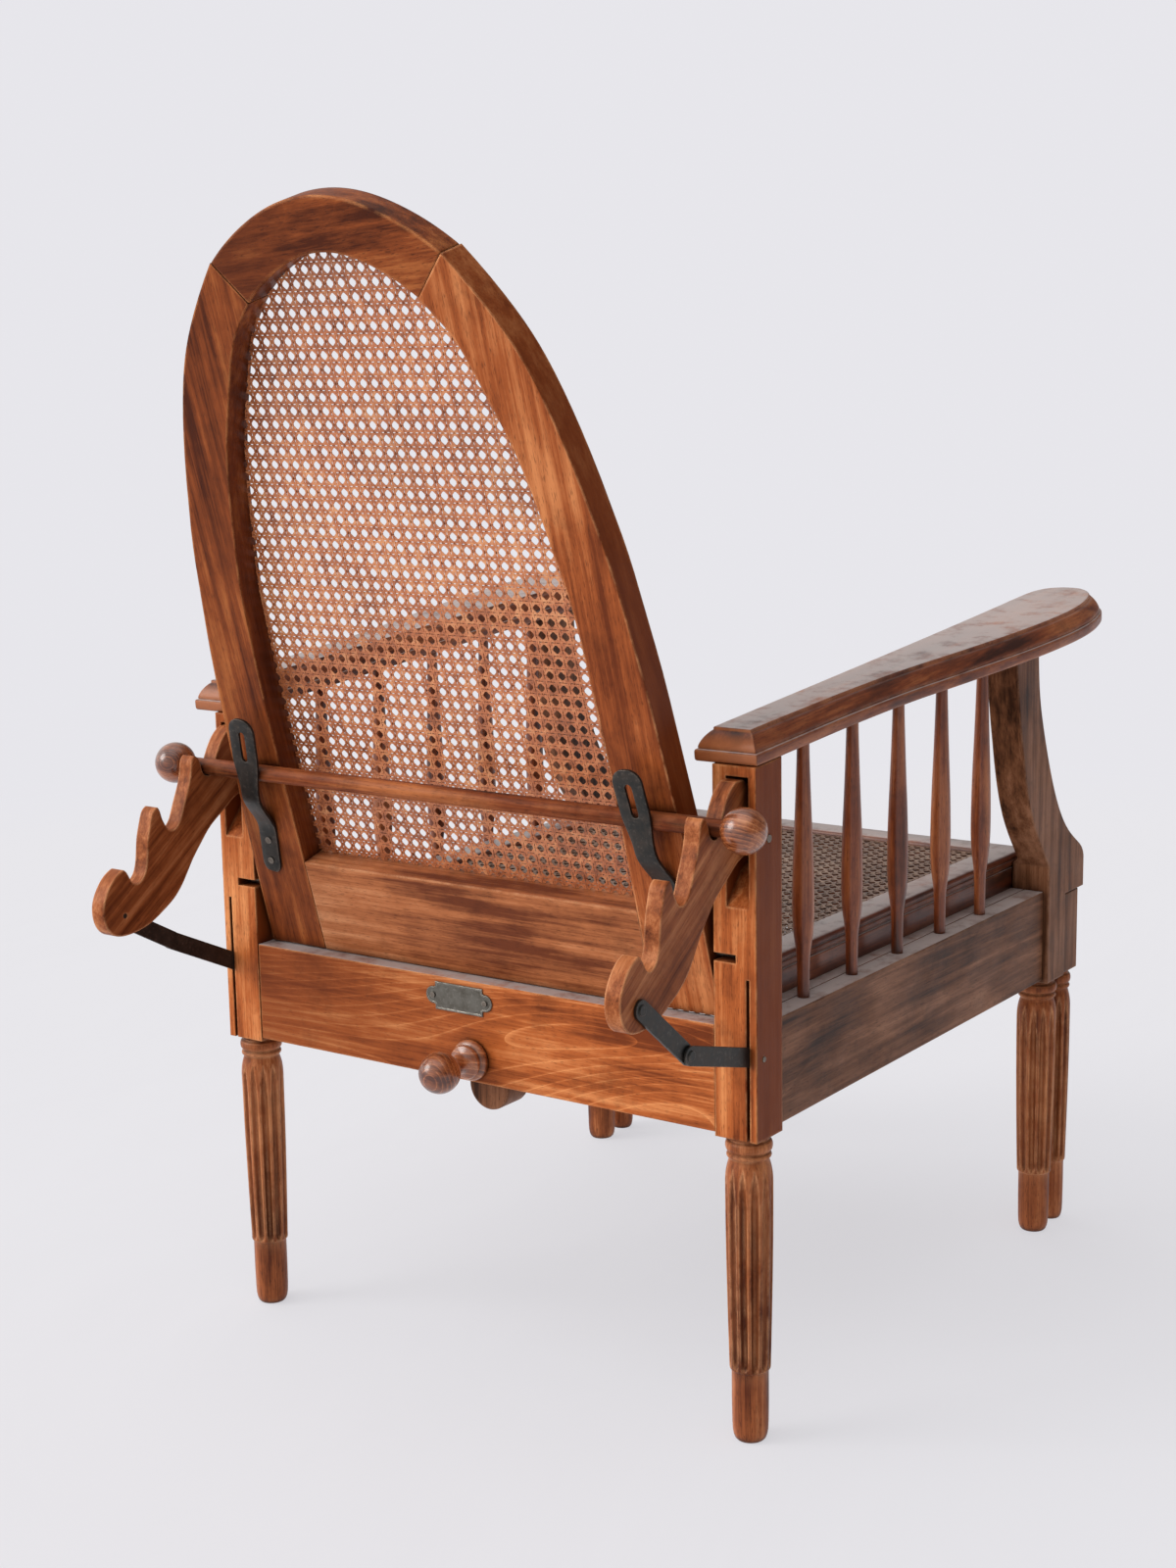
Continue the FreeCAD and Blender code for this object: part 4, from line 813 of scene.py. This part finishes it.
def seat_member(name, corner_start, corner_end):
    points = []
    for corner in (corner_start, corner_end):
        for inset, height in SEAT_PROFILE:
            across = corner[0] - math.copysign(inset, corner[0])
            middle = (SEAT_REAR + SEAT_FRONT) / 2
            along = corner[1] - math.copysign(inset, corner[1] - middle)
            points.append(drawn(across, along, height))
    count = len(SEAT_PROFILE)
    faces = [(number, (number + 1) % count, count + (number + 1) % count, count + number)
             for number in range(count)]
    faces += [tuple(range(count)), tuple(range(count, 2 * count))]
    return mesh_from(name, points, faces)


corners = {"left": ((HALF_SEAT, SEAT_FRONT), (HALF_SEAT, SEAT_REAR)),
           "right": ((-HALF_SEAT, SEAT_FRONT), (-HALF_SEAT, SEAT_REAR)),
           "front": ((-HALF_SEAT, SEAT_FRONT), (HALF_SEAT, SEAT_FRONT)),
           "rear": ((-HALF_SEAT, SEAT_REAR), (HALF_SEAT, SEAT_REAR))}
for member, (start, end) in corners.items():
    material = brown_seat if member in ("left", "right") else brown_seat_cross
    mesh = seat_member("seat_member_" + member, start, end)
    finished("seat_member_%s_moulded" % member, mesh, material, "frame",
             ["seat_member_" + member], 40.0)


# Flat boards and shaped boards keep their own form with rounded edges.
BOARDS = [
    ("rail_rear", 1.2, amber_rail, "frame", "amber_wood"),
    ("rail_front", 1.2, brown_seat_cross, "frame", "frame_wood"),
    *[("rail_side_" + side, 1.4, brown_rail, "frame", "dark_wood") for side in SIDES],
    *[("seat_cleat_" + side, 0.8, brown_rail, "frame", "frame_wood") for side in SIDES],
    *[("runner_guide_" + side, 0.8, brown_rail, "frame", "frame_wood") for side in SIDES],
    ("back_stile_left", 2.0, red_stile, "back", "amber_wood"),
    ("back_stile_right", 2.0, amber_stile, "back", "amber_wood"),
    ("back_top_arch", 2.0, red_arch, "back", "amber_wood"),
    *[("rack_" + side, 1.2, red_rack, "rack_" + side, "amber_wood") for side in SIDES],
    ("rest_front_rail", 1.6, red_cross, "leg_rest", "frame_wood"),
    ("rest_rear_rail", 1.0, red_cross, "leg_rest", "frame_wood"),
    *[("rest_runner_" + side, 1.0, brown_rail, "leg_rest", "frame_wood") for side in SIDES],
    ("latch_cam", 2.4, red_post, "latch", "frame_wood"),
    *[("stay_%s_link_%s" % (end, side), 0.4, black_iron, "stay_%s_%s" % (end, side), "black_iron")
      for end in ("post", "rack") for side in SIDES],
]


def lowered(place):
    drop = 1.4 * MM if place.z < 425.0 * MM else 0.0
    return place - drop * Vector(UP_THE_BACK)


mesh = rounded_copy("back_bottom_rail", 1.0 * MM, 2, reshape=lowered)
finished("back_bottom_rail_finished", mesh, chestnut_cross, "back", ["back_bottom_rail"],
         32.0)


def front_outer(edge):
    """True on the long outer arris at the front of the back's curved boards."""
    if len(edge.link_faces) != 2:
        return False
    faces = [(into_back @ face.normal, face) for face in edge.link_faces]
    faces.sort(key=lambda pair: pair[0].z)
    side, front = faces
    middle = into_back_place @ ((edge.verts[0].co + edge.verts[1].co) / 2)
    outward = Vector((middle.x, max(0.0, middle.y - 300.0 * MM), 0.0)).normalized()
    return front[0].z > 0.9 and abs(side[0].z) < 0.2 and side[0].dot(outward) > 0.75


into_back_place = back_place.inverted()
into_back = into_back_place.to_3x3()
for node_name, width, material, body, slot in BOARDS:
    curved = node_name.startswith("back_")
    mesh = rounded_copy(node_name, width * MM, 3 if width > 1.5 else 2,
                        arris=front_outer if curved else None, arris_width=14.0 * MM)
    finished(node_name + "_finished", mesh, material, body, [node_name], 32.0)

for node_name in ("rack_pins", "stay_pins", "back_pivot_pins", "strap_screws", "plate_screws"):
    body = "back" if node_name in ("back_pivot_pins", "strap_screws") else "frame"
    mesh = rounded_copy(node_name, 0.3 * MM, 2)
    finished(node_name + "_finished", mesh, screw_steel, body, [node_name], 32.0)


# Iron straps: screwed flat low down, stepped out over the rod, with a wide slotted head.
STRAP_ENDS = {"left": ((247.0, 52.0), (221.0, 232.0)), "right": ((-247.0, 50.0), (-233.0, 222.0))}
STRAP_THICKNESS = 3.0
STRAP_REACH = 17.7


def eased(value):
    value = min(1.0, max(0.0, value))
    return value * value * (3.0 - 2.0 * value)


for side_name, (low_point, high_point) in STRAP_ENDS.items():
    across_run = high_point[0] - low_point[0]
    along_run = high_point[1] - low_point[1]
    length = math.hypot(across_run, along_run)
    slant = math.atan2(-across_run, along_run)
    head_half = 15.5
    foot_half = 11.0
    slot_half = 3.9
    slot_low = length - 47.0
    slot_high = length - 14.0
    stations = sorted([length * step / 60.0 for step in range(61)]
                      + [0.15, 0.8, length - 0.15, length - 0.8, slot_low, slot_high,
                         slot_low + 0.6, slot_low + 1.8, slot_high - 0.6, slot_high - 1.8])
    rows = []
    for station in stations:
        half = foot_half + (head_half - foot_half) * eased((station - 0.55 * length)
                                                           / (0.22 * length))
        if station < foot_half:
            half *= math.sqrt(max(0.0, 1.0 - (1.0 - station / foot_half) ** 2)) * 0.6 + 0.4
        if station > length - head_half:
            part = (station - length + head_half) / head_half
            half *= math.sqrt(max(0.0, 1.0 - part ** 2.4)) * 0.88 + 0.12
        opening = 0.0
        if slot_low <= station <= slot_high:
            near_end = min(station - slot_low, slot_high - station)
            rim = min(1.0, near_end / slot_half)
            opening = slot_half * math.sqrt(max(0.04, 1.0 - (1.0 - rim) ** 2))
        lift = STRAP_REACH * eased((station / length - 0.26) / 0.27)
        rows.append((station, max(half, opening + 1.0), opening, lift))
    points = []
    for station, half, opening, lift in rows:
        inner = opening if opening else 0.3 * half
        points += [(across, station, -lift) for across in (-half, -inner, inner, half)]
    faces = []
    for number in range(len(rows) - 1):
        low = 4 * number
        bands = (0, 2) if rows[number][2] and rows[number + 1][2] else (0, 1, 2)
        faces += [(low + band, low + band + 1, low + band + 5, low + band + 4) for band in bands]
    mesh = bpy.data.meshes.new("strap_" + side_name)
    mesh.from_pydata([Vector(point) * MM for point in points], [], faces)
    mesh = flattened("strap_" + side_name, mesh, [
        ("SOLIDIFY", {"thickness": STRAP_THICKNESS * MM, "offset": -1.0}),
        ("BEVEL", {"width": 0.5 * MM, "segments": 2, "limit_method": "ANGLE",
                   "angle_limit": math.radians(50)})])
    mesh.transform(back_place @ Matrix.Translation(Vector((*low_point, 0)) * MM)
                   @ Matrix.Rotation(slant, 4, "Z"))
    finished("strap_%s_forged" % side_name, mesh, black_iron, "back", ["strap_" + side_name],
             35.0)

# Bare plate with rounded ears and a raised rim.
right_side = [(29.0, 14.0), (29.0, 9.4)]
right_side += [(32.0 + 8.6 * math.cos(math.radians(turn)), 8.6 * math.sin(math.radians(turn)))
               for turn in range(100, -101, -20)]
right_side += [(29.0, -9.4), (29.0, -14.0)]
plate_edge = [Vector(spot) for spot in right_side]
plate_edge += [Vector((-spot[0], spot[1])) for spot in reversed(right_side)]
plate_edge.reverse()
plate_layers = [(0.0, 0.0), (0.0, 1.2), (0.4, 1.6), (1.5, 1.6), (1.9, 1.0)]
points = []
for inset, height in plate_layers:
    for spot in inset_edge(plate_edge, inset):
        points.append(drawn(14.5 - spot.x, 22.0 + height, 386.0 + spot.y))
count = len(plate_edge)
faces = [(layer * count + number, layer * count + (number + 1) % count,
          (layer + 1) * count + (number + 1) % count, (layer + 1) * count + number)
         for layer in range(len(plate_layers) - 1) for number in range(count)]
faces += [tuple(range(count)), tuple(range((len(plate_layers) - 1) * count,
                                           len(plate_layers) * count))]
finished("label_plate_rimmed", mesh_from("label_plate", points, faces), plate_metal, "frame",
         ["label_plate"], 30.0)

# Prop rod, its balls and the knob on the rear rail, all turned.
ROD_DEPTH = 67.6
ROD_HEIGHT = 599.5
BALL_RADIUS = 21.0
KNOB_RADIUS = 20.5
ROD_CENTRE = drawn(0, ROD_DEPTH, ROD_HEIGHT)
rod_profile = [(0.0, -324.0), (8.0, -324.0), (8.0, -292.0), (8.45, -291.0), (8.45, 291.0),
               (8.0, 292.0), (8.0, 324.0), (0.0, 324.0)]
finished("prop_rod_turned", lathe("prop_rod", rod_profile, ROD_CENTRE, (1, 0, 0), 32), red_cross,
         "rod", ["prop_rod"])
for side_name, side in SIDES.items():
    profile = [(0.0, -20.0), (7.5, -20.0), (8.6, -19.6), (8.8, -19.0)]
    for step in range(33):
        angle = math.radians(-65.0 + 155.0 * step / 32.0)
        profile.append((max(0.0, BALL_RADIUS * math.cos(angle)) if step < 32 else 0.0,
                        BALL_RADIUS * math.sin(angle)))
    centre = drawn(side * 340.0, ROD_DEPTH, ROD_HEIGHT)
    mesh = lathe("rod_ball", profile, centre, (side, 0, 0), 48)
    finished("rod_ball_%s_turned" % side_name, mesh, polished_ball, "rod",
             ["rod_ball_" + side_name])

knob_profile = [(0.0, -2.3), (6.95, -2.3), (6.95, 22.3), (18.4, 22.3), (19.6, 22.8), (20.4, 24.2),
                (20.6, 26.0), (20.3, 28.0), (19.2, 29.4), (16.6, 29.9), (15.9, 30.6), (16.4, 31.6),
                (17.2, 33.0), (17.2, 34.8), (16.3, 36.4), (14.2, 37.4), (11.4, 38.4), (9.4, 40.4),
                (8.2, 43.0), (7.6, 46.0), (7.6, 49.0), (7.9, 52.0), (8.7, 54.6)]
for step in range(33):
    angle = math.radians(-64.0 + 154.0 * step / 32.0)
    knob_profile.append((KNOB_RADIUS * math.cos(angle) if step < 32 else 0.0,
                         74.0 + KNOB_RADIUS * math.sin(angle)))
mesh = lathe("latch_knob", knob_profile, drawn(0, 0, 327.0), (0, 1, 0), 48)
finished("latch_knob_turned", mesh, polished_ball, "latch", ["latch_knob"])


# Studio: a pale floor that runs into the backdrop, soft light, and the camera.
BACKDROP = (0.800, 0.793, 0.832, 1.0)


def studio_floor():
    material, graph = new_finish("pale_floor")
    place = graph.add("ShaderNodeTexCoord")["Object"]
    folds = graph.noise(graph.stretched(place, (1.0, 0.5, 1.0)), 2.4, 4.0, 0.5, 0.8)
    inputs = {"Strength": 0.3, "Distance": 0.02, "Height": folds}
    bump = graph.add("ShaderNodeBump", {}, inputs)["Normal"]
    cloth = graph.add("ShaderNodeBsdfDiffuse", {}, {"Color": (0.80, 0.795, 0.82, 1.0),
                                                    "Normal": bump})["BSDF"]
    glow = graph.add("ShaderNodeEmission", {}, {"Color": BACKDROP, "Strength": 1.0})["Emission"]
    distance = graph.add("ShaderNodeVectorMath", {"operation": "LENGTH"}, {0: place})["Value"]
    far = graph.spread(distance, 1.2, 3.2)
    settings = {"operation": "MAXIMUM"}
    share = graph.add("ShaderNodeMath", settings, {0: far, 1: 0.7})["Value"]
    shader = graph.add("ShaderNodeMixShader", {}, {0: share, 1: cloth, 2: glow})["Shader"]
    graph.add("ShaderNodeOutputMaterial", {}, {"Surface": shader})
    mesh = bpy.data.meshes.new("floor")
    reach = 60.0
    mesh.from_pydata([(-reach, -reach, 0), (reach, -reach, 0), (reach, reach, 0),
                      (-reach, reach, 0)], [], [(0, 1, 2, 3)])
    mesh.materials.append(material)
    floor = bpy.data.objects.new("floor", mesh)
    bpy.context.scene.collection.objects.link(floor)


def studio_world():
    world = bpy.data.worlds.new("studio")
    world.use_nodes = True
    world.node_tree.nodes.clear()
    graph = Graph(world.node_tree)
    path = graph.add("ShaderNodeLightPath")
    heading = graph.add("ShaderNodeTexCoord")["Generated"]
    inputs = {0: heading, 1: Vector((0.75, 0.55, 0.36)).normalized()}
    toward_light = graph.add("ShaderNodeVectorMath", {"operation": "DOT_PRODUCT"}, inputs)["Value"]
    lit = graph.spread(toward_light, -0.3, 0.95)
    fill = lit * 1.2 + 0.14
    seen = path["Is Camera Ray"]
    colour = graph.mix(seen, (1.0, 0.985, 0.97, 1.0), BACKDROP)
    strength = fill + seen * (1.0 - fill)
    shader = graph.add("ShaderNodeBackground", {}, {"Color": colour, "Strength": strength})
    graph.add("ShaderNodeOutputWorld", {}, {"Surface": shader["Background"]})
    bpy.context.scene.world = world


def sun(name, towards, strength, softness, colour):
    lamp = bpy.data.lights.new(name, "SUN")
    lamp.energy = strength
    lamp.angle = math.radians(softness)
    lamp.color = colour
    holder = bpy.data.objects.new(name, lamp)
    holder.rotation_mode = "QUATERNION"
    holder.rotation_quaternion = Vector(towards).to_track_quat("-Z", "Y")
    bpy.context.scene.collection.objects.link(holder)


studio_floor()
studio_world()
sun("key", (-0.62, -0.6, -0.42), 1.3, 30.0, (1.0, 0.985, 0.965))
sun("top", (0.1, -0.1, -1.0), 0.5, 60.0, (0.97, 0.98, 1.0))

azimuth = math.radians(215.185)
elevation = math.radians(10.723)
roll = math.radians(-1.046)
back = Vector((math.sin(azimuth) * math.cos(elevation), -math.cos(azimuth) * math.cos(elevation),
               math.sin(elevation)))
right = (-back).cross(Vector((0, 0, 1))).normalized()
up = right.cross(-back)
turned_right = right * math.cos(roll) + up * math.sin(roll)
turned_up = up * math.cos(roll) - right * math.sin(roll)
camera_data = bpy.data.cameras.new("camera")
camera_data.sensor_width = 36.0
camera_data.lens = 2409.63 / 1600.0 * 36.0
camera = bpy.data.objects.new("camera", camera_data)
target = drawn(8.97, -195.46, 564.73)
pose = Matrix((turned_right, turned_up, back)).transposed().to_4x4()
pose.translation = target + back * 2451.2 * MM
camera.matrix_world = pose
bpy.context.scene.collection.objects.link(camera)
bpy.context.scene.camera = camera
bpy.context.scene.view_settings.view_transform = "Standard"
